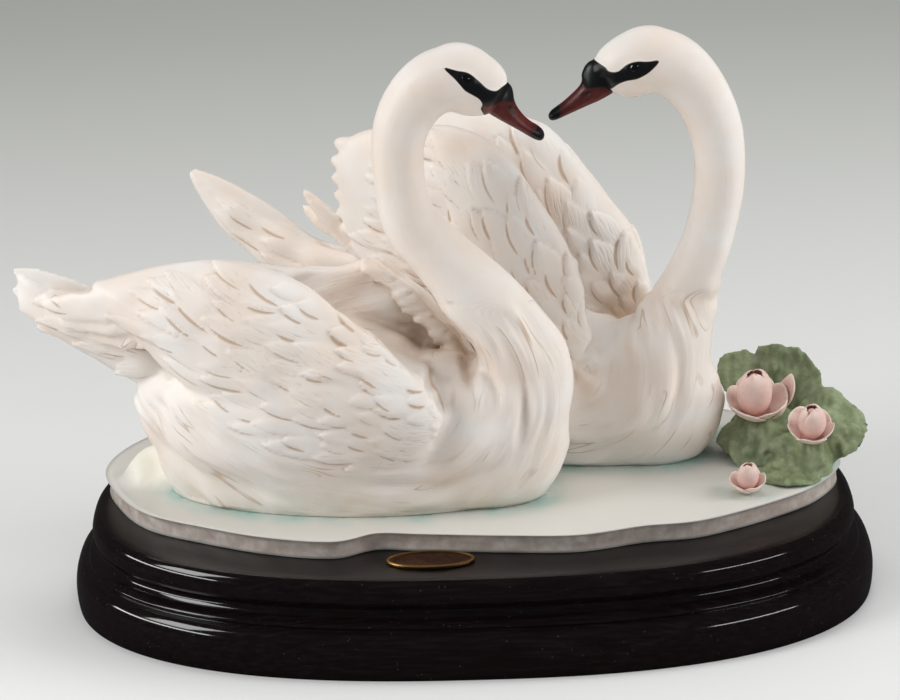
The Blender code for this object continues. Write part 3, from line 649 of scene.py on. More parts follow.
# Mask outlines and bill profiles in the heads' frames, (ahead, above) in millimetres
FRONT_MASK = (
    (-12.7, 0.4), (-6.5, 3.2), (-1.6, 5.3), (4.5, 5.2), (10.1, 4.6), (14.5, 5.9), (16.4, 9.1),
    (22.0, 13.0), (30.0, 8.0), (25.0, -8.0), (14.9, -6.0), (13.0, -3.1), (9.7, -1.7), (5.5, -1.9),
    (1.9, -2.2), (-1.4, -1.5), (-5.6, -0.6), (-9.1, -0.2),
)
REAR_MASK = (
    (-5.3, 0.4), (-0.3, 2.8), (4.3, 5.4), (9.1, 6.2), (14.1, 5.2), (17.8, 6.8), (18.6, 9.4),
    (24.0, 14.0), (34.0, 8.0), (30.0, -8.0), (24.9, -6.8), (21.1, -2.7), (17.2, -0.7),
    (12.9, -0.8), (8.5, -2.2), (4.2, -2.4), (0.0, -1.7),
)
# Each bill station is (ahead, top, underside, half width)
FRONT_BILL = (
    (9.0, 4.0, -3.4, 5.4), (13.5, 7.6, -4.9, 6.8), (16.4, 9.5, -5.8, 7.2), (18.9, 10.7, -6.3, 7.0),
    (22.3, 10.2, -6.6, 6.7), (25.0, 8.3, -6.4, 6.3), (27.4, 5.9, -6.2, 6.0), (31.0, 3.8, -5.8, 5.5),
    (36.0, 2.3, -5.2, 5.0), (40.5, 1.9, -4.8, 4.7), (44.5, 2.2, -4.5, 4.6), (47.8, 1.8, -4.0, 3.9),
    (49.7, 0.6, -3.2, 2.6), (50.5, -0.7, -2.2, 1.0),
)
REAR_BILL = (
    (12.5, 5.0, -3.6, 5.4), (16.5, 8.6, -5.0, 6.8), (19.2, 11.2, -6.0, 7.1), (22.5, 12.7, -6.5, 6.9),
    (26.0, 12.0, -6.5, 6.7), (29.4, 9.4, -6.3, 6.3), (31.4, 6.0, -6.0, 5.9), (34.6, 4.2, -5.6, 5.4),
    (39.0, 3.0, -5.1, 5.0), (43.5, 2.0, -4.6, 4.7), (47.5, 1.5, -4.2, 4.5), (50.8, 1.1, -3.9, 3.8),
    (52.9, 0.1, -3.2, 2.5), (53.8, -1.1, -2.2, 1.0),
)
FRONT_RED = (
    (27.4, 12.0), (27.3, 5.6), (23.1, 3.6), (20.2, 1.1), (16.6, -2.2), (12.6, -4.6), (10.5, -12.0),
    (44.0, -12.0), (43.6, -4.0), (43.8, -1.0), (44.4, 2.5), (45.0, 12.0),
)
REAR_RED = (
    (31.8, 14.0), (31.6, 4.6), (28.1, 2.4), (23.6, 0.2), (21.6, -3.6), (19.0, -12.0),
    (50.4, -12.0), (49.6, -3.6), (47.6, -0.6), (46.7, 2.0), (46.5, 14.0),
)


def resin_material(name):
    """Marble-dust resin, cold cast and hand washed.

    It is dense and faintly glossy like bisque; the tan wash stays in the grooves and thins
    out over the raised feathers. Painted shadow, in the wash's tan, lines the crescent under
    each feather's edge, and painted shade darkens the deep hollows. Barbs about 1.4 mm apart,
    coarser than real ones, are bump.
    """
    colours = bpy.context.scene.swan_colours
    material, tree, shader = start_material(name, 0.46)
    groove, recess, mask, strand, redness = (
        add_node(tree, "Attribute", {"attribute_name": key}).outputs["Fac"]
        for key in ("groove", "recess", "mask", "strand", "redness")
    )
    flow, barb, edge = (
        add_node(tree, "Attribute", {"attribute_name": key}).outputs["Vector"]
        for key in ("flow", "barb", "edge")
    )
    place = add_node(tree, "TexCoord").outputs["Object"]
    # Clouds of cream, some 40 mm across, as left by the sponge
    clouds = add_node(tree, "TexNoise", {
        "Scale": 26.0, "Detail": 3.0, "Roughness": 0.55, "Vector": place,
    }).outputs["Fac"]
    feathered = add_node(tree, "SeparateXYZ", {"Vector": barb})
    fine = add_node(tree, "TexNoise", {
        "Scale": 0.42, "Detail": 3.0, "Roughness": 0.55, "Vector": flow,
    }).outputs["Fac"]
    patches = add_node(tree, "TexNoise", {"Scale": 38.0, "Detail": 2.0, "Vector": place}).outputs["Fac"]
    # Creases are the level lines of a noise drawn out along the strands
    level = add_node(tree, "TexNoise", {"Scale": 0.12, "Detail": 1.0, "Vector": flow}).outputs["Fac"]
    level = add_node(tree, "Math", {
        "operation": "ABSOLUTE",
        0: add_node(tree, "Math", {"operation": "SUBTRACT", 0: level, 1: 0.5}).outputs[0],
    }).outputs[0]
    crease = add_node(tree, "Math", {
        "operation": "MULTIPLY",
        0: add_node(tree, "MapRange", {"Value": level, "From Min": 0.018, "From Max": 0.003}).outputs[0],
        1: add_node(tree, "MapRange", {"Value": strand, "From Min": 0.32, "From Max": 0.6}).outputs[0],
    }).outputs[0]
    crease = add_node(tree, "Math", {
        "operation": "MULTIPLY", 0: crease,
        1: add_node(tree, "MapRange", {"Value": patches, "From Min": 0.52, "From Max": 0.62}).outputs[0],
    }).outputs[0]
    # Painted shadow, in the wash's tan, lies in the crescent under each feather's lower edge
    bounds = add_node(tree, "SeparateXYZ", {"Vector": edge})
    off = add_node(tree, "Math", {
        "operation": "SUBTRACT",
        0: add_node(tree, "Math", {"operation": "ABSOLUTE", 0: bounds.outputs[0]}).outputs[0],
        1: bounds.outputs[1],
    }).outputs[0]
    crescent_shadow = add_node(tree, "Math", {
        "operation": "MULTIPLY",
        0: add_node(tree, "MapRange", {"Value": off, "From Min": 0.34, "From Max": -0.46}).outputs[0],
        1: add_node(tree, "MapRange", {
            "Value": bounds.outputs[1], "From Min": 0.04, "From Max": 0.30,
        }).outputs[0],
    }).outputs[0]
    # Fine strokes of wash lie along the barbs, in groups
    slant = add_node(tree, "Math", {
        "operation": "ADD", 0: feathered.outputs[0],
        1: add_node(tree, "Math", {"operation": "MULTIPLY", 0: feathered.outputs[1], 1: 0.22}).outputs[0],
    }).outputs[0]
    grooved = add_node(tree, "CombineXYZ", {
        "X": slant,
        "Y": add_node(tree, "Math", {
            "operation": "MULTIPLY", 0: feathered.outputs[1], 1: 0.12,
        }).outputs[0],
    }).outputs[0]
    barbs = add_node(tree, "TexNoise", {"Scale": 0.72, "Detail": 1.0, "Vector": grooved}).outputs["Fac"]
    stroke = add_node(tree, "Math", {
        "operation": "MULTIPLY",
        0: add_node(tree, "MapRange", {"Value": barbs, "From Min": 0.38, "From Max": 0.28}).outputs[0],
        1: feathered.outputs[2],
    }).outputs[0]
    stroke = add_node(tree, "Math", {
        "operation": "MULTIPLY", 0: stroke,
        1: add_node(tree, "MapRange", {
            "Value": patches, "From Min": 0.50, "From Max": 0.60, "To Max": 0.55,
        }).outputs[0],
    }).outputs[0]
    low = add_node(tree, "SeparateXYZ", {"Vector": place}).outputs[2]
    dust = add_node(tree, "Math", {
        "operation": "MULTIPLY",
        0: add_node(tree, "MapRange", {
            "Value": low, "From Min": CAST_BASE + 22 * MM, "From Max": CAST_BASE,
        }).outputs[0],
        1: add_node(tree, "MapRange", {
            "Value": clouds, "From Min": 0.40, "From Max": 0.62, "To Min": 0.1, "To Max": 0.42,
        }).outputs[0],
    }).outputs[0]
    gape = add_node(tree, "Math", {
        "operation": "MAXIMUM",
        0: redness,
        1: add_node(tree, "Math", {"operation": "ADD", 0: mask, 1: 0.9}).outputs[0],
    }).outputs[0]
    colour = lay_washes(tree, colours.resin, (
        (clouds, 0.36, 0.66, 0.8, colours.blush), (crease, 0.0, 1.0, 0.55, colours.wash),
        # The crescent wash is painted shadow under the feathers' edges
        (groove, 0.15, 1.1, 0.34, colours.wash), (crescent_shadow, 0.0, 1.0, 0.70, colours.wash),
        # The recess wash is painted shade: hollows darken as nearby surface shuts off the view
        (stroke, 0.0, 1.0, 1.0, colours.wash), (recess, 0.28, 0.80, 0.62, colours.hollow_shade),
        (dust, 0.0, 1.0, 1.0, linear("#C6C2AC")), (mask, 0.18, -0.18, 1.0, colours.mask),
        (gape, 0.2, -0.2, 1.0, colours.bill),
    ))
    tree.links.new(colour, shader.inputs["Base Color"])
    tree.links.new(
        add_node(tree, "MapRange", {
            "Value": mask, "From Min": 0.2, "From Max": -0.2, "To Min": 0.46, "To Max": 0.34,
        }).outputs[0],
        shader.inputs["Roughness"]
    )
    lines = add_node(tree, "MapRange", {
        "Value": barbs, "From Min": 0.3, "From Max": 0.7, "To Min": -0.5, "To Max": 0.5,
    }).outputs[0]
    lines = add_node(tree, "Math", {"operation": "MULTIPLY", 0: lines, 1: feathered.outputs[2]}).outputs[0]
    lines = add_node(tree, "Math", {
        "operation": "MULTIPLY", 0: lines,
        1: add_node(tree, "MapRange", {"Value": patches, "From Min": 0.46, "From Max": 0.60}).outputs[0],
    }).outputs[0]
    relief = add_node(tree, "Math", {
        "operation": "ADD", 0: lines,
        1: add_node(tree, "Math", {
            "operation": "MULTIPLY",
            0: add_node(tree, "Math", {"operation": "MULTIPLY", 0: fine, 1: 2.6}).outputs[0], 1: strand,
        }).outputs[0],
    }).outputs[0]
    cut = add_node(tree, "Math", {
        "operation": "ADD",
        0: add_node(tree, "Math", {"operation": "MULTIPLY", 0: crescent_shadow, 1: -1.1}).outputs[0],
        1: add_node(tree, "Math", {"operation": "MULTIPLY", 0: crease, 1: -0.9}).outputs[0],
    }).outputs[0]
    relief = add_node(tree, "Math", {"operation": "ADD", 0: relief, 1: cut}).outputs[0]
    bump = add_node(tree, "Bump", {
        "Strength": 0.7, "Distance": 0.4 * MM, "Height": relief,
    }).outputs["Normal"]
    tree.links.new(bump, shader.inputs["Normal"])
    return material


def bill_material():
    """Brushed enamel paint on resin: brick red with black at the base, nostril and nail."""
    colours = bpy.context.scene.swan_colours
    material, tree, shader = start_material("painted_bill_enamel", 0.36)
    paint = add_node(tree, "Attribute", {"attribute_name": "paint"}).outputs["Fac"]
    place = add_node(tree, "TexCoord").outputs["Object"]
    strokes = add_node(tree, "TexNoise", {
        "Scale": 420.0, "Detail": 3.0, "Roughness": 0.6, "Vector": place,
    }).outputs["Fac"]
    red = tuple(colours.bill)
    worn = tuple(min(1.0, value * 1.9) for value in red)
    colour = lay_washes(tree, red, (
        (strokes, 0.45, 0.70, 0.5, worn), (paint, -4.0, 0.0, 0.45, colours.mask),
        (paint, -0.22, 0.22, 1.0, colours.mask),
    ))
    tree.links.new(colour, shader.inputs["Base Color"])
    bump = add_node(tree, "Bump", {
        "Strength": 0.3, "Distance": 0.2 * MM, "Height": strokes,
    }).outputs["Normal"]
    tree.links.new(bump, shader.inputs["Normal"])
    return material


def eye_material():
    """Glossy black enamel drop: nearly black, with a sharp glint from its clear coat."""
    material, _, shader = start_material("black_eye_enamel", 0.06)
    shader.inputs["Base Color"].default_value = (*linear("#0B0B0D"), 1.0)
    shader.inputs["Coat Weight"].default_value = 1.0
    shader.inputs["Coat Roughness"].default_value = 0.03
    return material


def swan_place(x, y, heading):
    turn = Matrix.Rotation(math.radians(heading), 4, "Z")
    return Matrix.Translation((x * MM, y * MM, CAST_BASE)) @ turn


def add_bill(name, head, stations, red, nostril, place, material):
    """Bill with knob, gape line and nostrils, lofted through its stations."""
    form = bmesh.new()
    sides = 40
    path = smooth_path([Vector((station[0], station[1], station[2])) for station in stations], 5)
    widths = smooth_path([Vector((station[3], 0, 0)) for station in stations], 5)
    rings = []
    for (ahead, top, under), wide in zip(path, widths):
        middle = under + (top - under) * 0.42
        ring = []
        for step in range(sides):
            angle = 2 * math.pi * step / sides
            across, rise = math.cos(angle), math.sin(angle)
            if rise > 0:
                above = middle + (top - middle) * rise
                side = wide.x * across * (1 - 0.18 * rise * min(1.0, (top - under) / 14))
            else:
                above = middle + (middle - under) * rise
                side = wide.x * across
            # The gape runs as a shallow groove a third of the way up the side
            gape = max(0.0, 1 - abs(rise + 0.42) / 0.16)
            side *= 1 - 0.07 * gape
            ring.append(head.spot(ahead, side, above))
        rings.append(ring)
    add_rings(form, rings)
    bmesh.ops.recalc_face_normals(form, faces=form.faces)
    skin = Skin(form)
    local = head.local(skin.points)
    side_view = local[:, [0, 2]]
    outline = [tuple(point.xy) for point in smooth_loop([(*point, 0) for point in red], 3)]
    paint = outline_distance(side_view, outline)
    slit = outline_distance(side_view, nostril)
    deep = ramp(0.35, -0.5, slit)
    skin.push(-0.9 * deep)
    skin.store("paint", np.maximum(paint, -slit - 0.1))
    seat_piece(name, skin.seated(place), material)


def add_eyes(name, head, ahead, above, place, material, slot):
    """Domed glossy eyes set into both sides of the mask."""
    form = bmesh.new()
    radius = bpy.context.scene.swan_sizes.eye / MM / 2
    for hand in (-1, 1):
        skull = head.half * math.sqrt(max(0.0, 1 - ((ahead - head.half * 0.15) / (head.half * 1.38)) ** 2))
        lift = 1 - (above / (head.half * 1.08)) ** 2
        spot = head.spot(ahead, hand * (skull * math.sqrt(lift) - radius * 0.34), above)
        add_ball(form, spot, (radius, radius * 0.72, radius * 0.74), head.turn, 32, 20)
    make_piece(name, form, material, place=place @ TO_METRES)


def carve_swan(form, wings, plumes, head, mask, red, eye, neck, arc, base_relax, strength):
    """Fuse a swan's solids, carve its feathers and store what its finish reads."""
    sizes = bpy.context.scene.swan_sizes
    skin = fused(form, sizes.grain / MM, 2)
    keep_largest(skin)
    cut_flat(skin, 0.0)
    keep_largest(skin)
    skin = Skin(skin)
    x, _, z = skin.points.T
    free = ramp(0.4, 2.0, z)
    skin.relax(base_relax(x, z) * free, 34)
    skin.relax(0.9 * free, 2)
    local = head.local(skin.points)
    skin.relax(ramp(7, 10, local[:, 0]) * ramp(26, 20, local[:, 0]) * (np.abs(local[:, 1]) < 20)
               * (np.abs(local[:, 2]) < 20) * 0.9, 6)
    x, y, z = (skin.points[:, index].copy() for index in range(3))
    normals = skin.normals()

    height = np.zeros(len(x))
    barb = np.zeros((len(x), 3))
    cover = np.zeros(len(x))
    owner = np.zeros(len(x))
    beside_owner = np.zeros(len(x))
    edge = np.zeros((len(x), 3))
    edge[:, 0] = 9.0
    for wing, feathers in zip(wings, plumes):
        reach = wing.reach(x, z)
        depth = wing.side * y - wing.stand
        depth = depth - wing.lean[0] * (x - wing.hub.x) - wing.lean[1] * (z - wing.hub.y)
        facing = wing.side * normals[:, 1]
        weight = ramp(-0.05, 0.30, facing) * ramp(-1.0, 2.0, depth)
        within = ramp(-wing.swell_in - 9, -wing.swell_in - 5, depth) * ramp(3.0, -1.0, depth)
        weight = np.maximum(weight, wing.inner * ramp(0.05, -0.30, facing) * within)
        weight *= ramp(1.06, 0.97, reach) * ramp(wing.swell_out + 8, wing.swell_out + 4, depth)
        chosen = np.nonzero(weight > 0.01)[0]
        rise, along, across, number = plumage(x[chosen], z[chosen], feathers)
        owner[chosen] = number
        gap, half, beside_owner[chosen] = crescents(x[chosen], z[chosen], feathers, rise)
        height[chosen] += rise * weight[chosen]
        barb[chosen, 0] = across
        barb[chosen, 1] = along
        barb[chosen, 2] = weight[chosen] * (rise > 0.05)
        cover[chosen] = np.maximum(cover[chosen], weight[chosen])
        edge[chosen, 0] = gap
        edge[chosen, 1] = half * weight[chosen] * ramp(1.0, 0.93, reach[chosen])
        if wing.crease:
            # The rolled front edge of the wing is undercut by a crease, and its line takes the crescents'
            # painted shadow
            beside = np.nonzero((wing.side * y > 8) & (np.abs(reach - 1) < 0.14))[0]
            line = outline_distance(np.column_stack((x[beside], z[beside])), [tuple(p) for p in wing.loop])
            line -= 0.8
            wide = 0.34 * ramp(*wing.crease, x[beside]) * ramp(wing.hub.y - 34, wing.hub.y - 18, z[beside])
            height[beside] -= 2.6 * np.exp(-(line / 1.9) ** 2) * wide
            better = (np.abs(line) - wide < np.abs(edge[beside, 0]) - edge[beside, 1]) & (wide > 0.05)
            beside_owner[beside[better]] = -1
            edge[beside[better], 0] = line[better]
            edge[beside[better], 1] = wide[better]
    height *= free * (sizes.feather_lift / (1.5 * MM))
    barb[:, 2] *= np.abs(skin.around(owner) - owner) < 1e-6
    edge[:, 1] *= np.abs(skin.around(beside_owner) - beside_owner) < 1e-6
    for _ in range(2):
        edge[:, 1] = np.minimum(edge[:, 1], skin.around(edge[:, 1]) * 1.4)

    # Strands run along the neck, sweep round the breast and trail back over the flank
    spine = np.array([tuple(point) for point in neck])
    step = np.concatenate(([0], np.cumsum(np.linalg.norm(np.diff(spine, axis=0), axis=1))))
    gaps = ((skin.points[:, None, :] - spine[None, ::2, :]) ** 2).sum(2)
    nearest = gaps.argmin(1) * 2
    off = skin.points - spine[nearest]
    neck_flow = np.column_stack((off[:, 0] * 0.9, off[:, 1], step[nearest] * 0.07))
    back = np.clip(arc[0] - x, 0, None)
    fore = np.clip(x - arc[0], 0, None)
    sweep = np.hypot(fore, z - arc[1]) + 0.0034 * back ** 2
    # Length along the strands: back below the breast, round it and back again above it
    radian, half_turn = 40, 125.7
    above = np.where(z < arc[1], -back, half_turn + back)
    along = np.where(x > arc[0], np.arctan2(fore, arc[1] - z) * radian, above)
    folded = ramp(0, 7, np.abs(z - arc[1]) + fore * 2)
    body_flow = np.column_stack((sweep, y * 0.5, along * 0.07))
    on_neck = ramp(arc[2], arc[2] + 26, z) * ramp(34, 22, np.sqrt(gaps.min(1)))
    flow = body_flow * (1 - on_neck[:, None]) + neck_flow * on_neck[:, None]
    local = head.local(skin.points)
    distance = np.linalg.norm(local, axis=1)
    near_head = ramp(26, 16, distance)
    quiet = (1 - cover) * (1 - near_head) * free * (1 - 3.2 * on_neck * (1 - on_neck)) * folded
    quiet *= np.maximum(ramp(-128, -100, x) * ramp(120, 100, z), on_neck)
    calm = ramp(-0.25, 0.35, skin.noise(skin.points * 0.030 + 5.0))
    folds = skin.noise(body_flow * np.array((0.075, 0.05, 0.6)))
    strands = skin.noise(body_flow * np.array((0.16, 0.10, 0.5)))
    front = 1 + 0.7 * ramp(arc[0] - 10, arc[0] + 10, x)
    height += (folds * 3.2 + strands * 2.4 * calm * front) * quiet * (1 - on_neck) ** 2 * strength
    height += skin.noise(neck_flow * np.array((0.12, 0.12, 0.3))) * 0.35 * quiet * on_neck
    lumps = skin.noise(skin.points * 0.055) * 1.2
    height += lumps * cover * free

    # The painted mask stands a little proud of the head
    outline = [tuple(point.xy) for point in smooth_loop([(*point, 0) for point in mask], 4)]
    painted = outline_distance(local[:, [0, 2]], outline)
    painted = np.where(distance < 40, painted, 20.0)
    height += ramp(0.8, -0.6, painted) * 0.35
    # Lids round each eye
    ring = np.hypot((local[:, 0] - eye[0]) / 1.30, local[:, 2] - eye[1]) - 2.9
    height += 0.55 * np.exp(-(ring / 0.9) ** 2) * (distance < 22)

    skin.push(height)
    skin.relax(0.12 * free, 1)
    groove = (skin.blurred(height, 5) - height) / 0.5
    skin.store("groove", np.clip(groove, 0, 1.2) * (1 - near_head))
    skin.store("edge", edge)
    skin.store("strand", quiet * np.where(on_neck > 0.5, 0.25, strength))
    # Occlusion, which the resin paints as shade in the hollows
    skin.store("recess", skin.blurred(skin.recess(32.0), 3))
    skin.store("mask", painted)
    outline = [tuple(point.xy) for point in smooth_loop([(*point, 0) for point in red], 3)]
    skin.store("redness", np.where(distance < 40, outline_distance(local[:, [0, 2]], outline), 20.0))
    skin.store("flow", flow)
    skin.store("barb", barb)
    return skin


def front_swan_forms():
    sizes = bpy.context.scene.swan_sizes
    form = bmesh.new()
    add_body(form, 60, -64)
    for side in (-1, 1):
        add_ball(form, (-20, side * 13, 44), (72, 37, 42))
    neck = add_neck(form, FRONT_NECK, sizes.neck / MM)
    form = fused(form, ROUGH_GRAIN, ROUGH_ROUNDS)
    head = Head((57.0, 8.0, 207.8), (94.0, 15.9, 177.9), sizes.head / MM)
    head.add_skull(form, 19, 10.6)
    outline = (
        (47, 48), (42, 63), (30, 77), (5, 98), (-24, 116), (-52, 124), (-85, 121), (-112, 114),
        (-122, 111), (-118, 102), (-107, 92), (-96, 80), (-84, 67), (-56, 50), (-25, 36),
        (8, 27), (35, 30),
    )
    far_outline = (
        (62, 48), (56, 65), (46, 80), (34, 93), (20, 105), (9, 111), (-8, 107), (-32, 108),
        (-60, 109), (-92, 104), (-122, 98), (-146, 92), (-126, 84), (-98, 72), (-60, 54),
        (-22, 40), (14, 30), (48, 31),
    )
    near = Wing(-1, outline, (-28, 76), (62, 40), 25, 0.07, -0.12, 22, 8, crease=(-24, 8))
    far = Wing(1, far_outline, (-14, 78), (76, 42), 24, 0.06, -0.04, 7, 6, inner=0.2)
    for wing in (near, far):
        wing.add_pad(form)
    tail = (
        (-60, 106), (-100, 106), (-134, 103), (-152, 108), (-162, 111), (-162, 104), (-163, 97),
        (-156, 88), (-138, 75), (-112, 58), (-85, 48), (-60, 70),
    )
    tails = [Wing(side, tail, (-110, 84), (-46, 90), 0, 0, 0, 12, 1) for side in (-1, 1)]
    for half in tails:
        half.add_pad(form)
    # Quills that end the tail and the folded wings
    for tip in ((-166, 114), (-167, 104), (-164, 94), (-156, 84)):
        add_quill(form, (-108, -7, 86 + (tip[1] - 88) * 0.3), (tip[0], -2, tip[1]), 13, 3.6, (0, -1, 0.1))
    for tip in ((-148, 99), (-140, 92), (-128, 85)):
        add_quill(form, (tip[0] + 52, -29, tip[1] + 4), (tip[0], -12, tip[1]), 15, 5, (0, -1, 0.1))
    # Floor of the hollow where both wings meet the breast
    add_ball(form, (45, 4, 57), (19, 18, 13))
    # Rolled rim of the far wing with tufts laid across it
    rim = smooth_path(
        [(64, 19, 49), (58, 18, 59), (47, 17, 72), (34, 17, 87), (19, 18, 103), (4, 20, 111)], 8
    )
    thick = [3.0 + 1.6 * math.sin(index / len(rim) * math.pi) for index in range(len(rim))]
    add_tube(form, list(zip(rim, thick)), 20)
    for index, spot in enumerate(rim[1:-2:2]):
        lean = Vector((0.84, -0.12, 0.22 + 0.20 * math.sin(index * 2.4)))
        reach = 7.4 + 1.6 * math.sin(index * 1.7)
        add_quill(
            form, spot - lean * reach + Vector((0, -3.6, 0)), spot + lean * 5.0 + Vector((0, -3.0, 0)),
            4.4, 4.0, (0, -1, 0.2)
        )
    return form, (near, far), tails, head, neck


def rear_swan_forms():
    sizes = bpy.context.scene.swan_sizes
    form = bmesh.new()
    add_body(form, 56, -64)
    neck = add_neck(form, REAR_NECK, sizes.neck / MM)
    form = fused(form, ROUGH_GRAIN, ROUGH_ROUNDS)
    head = Head((68.0, -17.5, 208.2), (27.6, -37.6, 184.2), sizes.head / MM)
    head.add_skull(form, 22.5, 12.6)
    near_outline = (
        (40, 62), (39, 84), (37, 97), (29, 116), (15, 138), (2, 156), (-12, 166), (-31, 171),
        (-51, 168), (-72, 166), (-85, 158), (-88, 145), (-87, 120), (-80, 104), (-68, 84),
        (-40, 62), (-8, 46), (24, 44),
    )
    far_outline = (
        (46, 50), (54, 64), (55, 76), (52, 88), (47, 102), (40, 114), (27, 129), (13, 146),
        (1, 157), (-20, 163), (-44, 163), (-66, 158), (-80, 146), (-84, 120), (-70, 88),
        (-40, 62), (-6, 44), (24, 38),
    )
    near = Wing(-1, near_outline, (-22, 108), (58, 52), 26, -0.02, 0.02, 12, 6, crease=(-14, 4))
    far = Wing(1, far_outline, (-10, 104), (66, 44), 28, 0.10, 0.02, 12, 20, inner=1.0)
    for wing in (near, far):
        wing.add_pad(form)
    tail = (
        (-177, 132), (-166, 127), (-155, 120), (-134, 109), (-105, 99), (-70, 90), (-62, 70),
        (-90, 62), (-118, 72), (-148, 93), (-161, 104), (-171, 117),
    )
    tails = []
    for side in (-1, 1):
        half = Wing(side, tail, (-118, 92), (-50, 66), -side * 12, 0, 0, 7, 1)
        half.add_pad(form)
        tails.append(half)
    for tip in ((-178, 133), (-174, 124), (-167, 114), (-157, 103), (-146, 93)):
        add_quill(form, (-112, -10, 92 + (tip[1] - 110) * 0.3), (tip[0], -12, tip[1]), 12, 5, (0, -1, 0.2))
    # Blunt quills that fringe the near wing's trailing edge
    for tip in ((-90, 158), (-92, 149), (-92, 140), (-91, 131), (-90, 122), (-87, 113), (-82, 104)):
        add_quill(form, (tip[0] + 17, -31, tip[1] - 1), (tip[0] - 1, -27, tip[1]), 8.8, 7.5, (0, -1, 0.1))
    for tip in ((-112, -22, 131), (-106, -28, 128), (-114, -18, 121)):
        add_quill(form, (-72, -23, 93), tip, 10, 4.5, (0, -1, 0.3))
    return form, (near, far), tails, head, neck


def build_front_swan():
    form, wings, tails, head, neck = front_swan_forms()
    rows = (
        (22, 15, 8, 1.6), (34, 16, 8, 1.8), (46, 18, 8.5, 2.0), (59, 20, 8.5, 2.2),
        (72, 22, 9, 2.3), (86, 24, 9, 2.4), (101, 26, 9, 2.4), (117, 28, 9, 2.4),
        (133, 30, 9, 2.4), (150, 34, 9.5, 2.2), (168, 38, 9.5, 2.0), (188, 44, 10, 1.8), (208, 50, 10, 1.4),
    )
    tail_rows = ((76, 32, 10, 1.8), (92, 36, 10, 1.8), (108, 38, 10, 1.6), (124, 40, 9, 1.2))
    plumes = [wing.feathers(rows, 173, 260, 3 + index) for index, wing in enumerate(wings)]
    plumes += [half.feathers(tail_rows, 184, 70, 11 + index) for index, half in enumerate(tails)]

    def relaxed(x, z):
        return ramp(62, 42, z) * ramp(-112, -70, x)

    skin = carve_swan(form, (*wings, *tails), plumes, head, FRONT_MASK, FRONT_RED, FRONT_EYE, neck,
                      (34, 58, 96), relaxed, 0.9)
    place = swan_place(*FRONT_PLACE)
    seat_piece("front_swan_casting", skin.seated(place), resin_material("washed_marble_resin_front"),
               ("front_swan",))
    nostril = ((25.2, 3.0), (27.6, 2.9), (30.2, 1.5), (30.4, 0.9), (27.4, 1.6), (25.3, 2.2))
    add_bill(
        "front_swan_bill", head, FRONT_BILL, FRONT_RED, nostril, place, bill_material(),
    )
    add_eyes("front_swan_eyes", head, *FRONT_EYE, place, eye_material(), "front_swan_resin")


def build_rear_swan():
    form, wings, tails, head, neck = rear_swan_forms()
    level_rows = (
        (60, 14, 8, 1.6), (70, 14, 8, 1.8), (80, 15, 8, 2.0), (90, 16, 8, 2.2),
        (101, 18, 8, 2.2), (112, 20, 8, 2.2), (124, 22, 8, 2.0), (137, 24, 8, 2.0), (151, 26, 8, 1.8),
    )
    rows = (
        (26, 16, 9.5, 1.8), (38, 18, 10, 2.2), (51, 20, 10.5, 2.5), (65, 22, 11, 2.6),
        (79, 24, 11, 2.6), (94, 26, 11, 2.6), (109, 28, 11, 2.4), (125, 30, 11, 2.2),
        (142, 34, 11, 2.0), (158, 38, 11, 1.8),
    )
    tail_rows = ((76, 32, 11, 1.8), (94, 36, 10, 1.8), (112, 38, 10, 1.6), (130, 40, 9, 1.2))
    near, far = wings
    leading = [plume for plume in near.feathers(rows, 128, 30, 21) if plume[0].x > -44]
    trailing = [plume for plume in near.feathers(level_rows, 160, 400, 22) if plume[0].x < -40]
    trailing = [(tip, Vector((-1.0, run.y * 0.3)).normalized(), *rest) for tip, run, *rest in trailing]
    plumes = [leading + trailing, far.feathers(rows, 132, 30, 23)]
    plumes += [half.feathers(tail_rows, 155, 70, 31 + index) for index, half in enumerate(tails)]

    def relaxed(x, z):
        return ramp(58, 40, z) * ramp(-112, -70, x) * 0.9

    skin = carve_swan(form, (*wings, *tails), plumes, head, REAR_MASK, REAR_RED, REAR_EYE, neck,
                      (34, 52, 84), relaxed, 0.7)
    place = swan_place(*REAR_PLACE)
    seat_piece("rear_swan_casting", skin.seated(place), resin_material("washed_marble_resin_rear"),
               ("rear_swan",))
    nostril = ((30.2, 1.6), (32.0, 1.9), (34.8, 1.0), (34.9, 0.4), (32.0, 0.6), (30.4, 0.9))
    add_bill(
        "rear_swan_bill", head, REAR_BILL, REAR_RED, nostril, place, bill_material()
    )
    add_eyes("rear_swan_eyes", head, *REAR_EYE, place, eye_material(), "rear_swan_resin")


# Plinth, plate and pool

def oval_ring(half_length, half_depth, squareness, height, count):
    """Superellipse ring at one height."""
    ring = []
    power = 2.0 / squareness
    for index in range(count):
        angle = 2 * math.pi * index / count
        across = math.copysign(abs(math.cos(angle)) ** power, math.cos(angle))
        deep = math.copysign(abs(math.sin(angle)) ** power, math.sin(angle))
        ring.append(Vector((half_length * across, half_depth * deep, height)))
    return ring


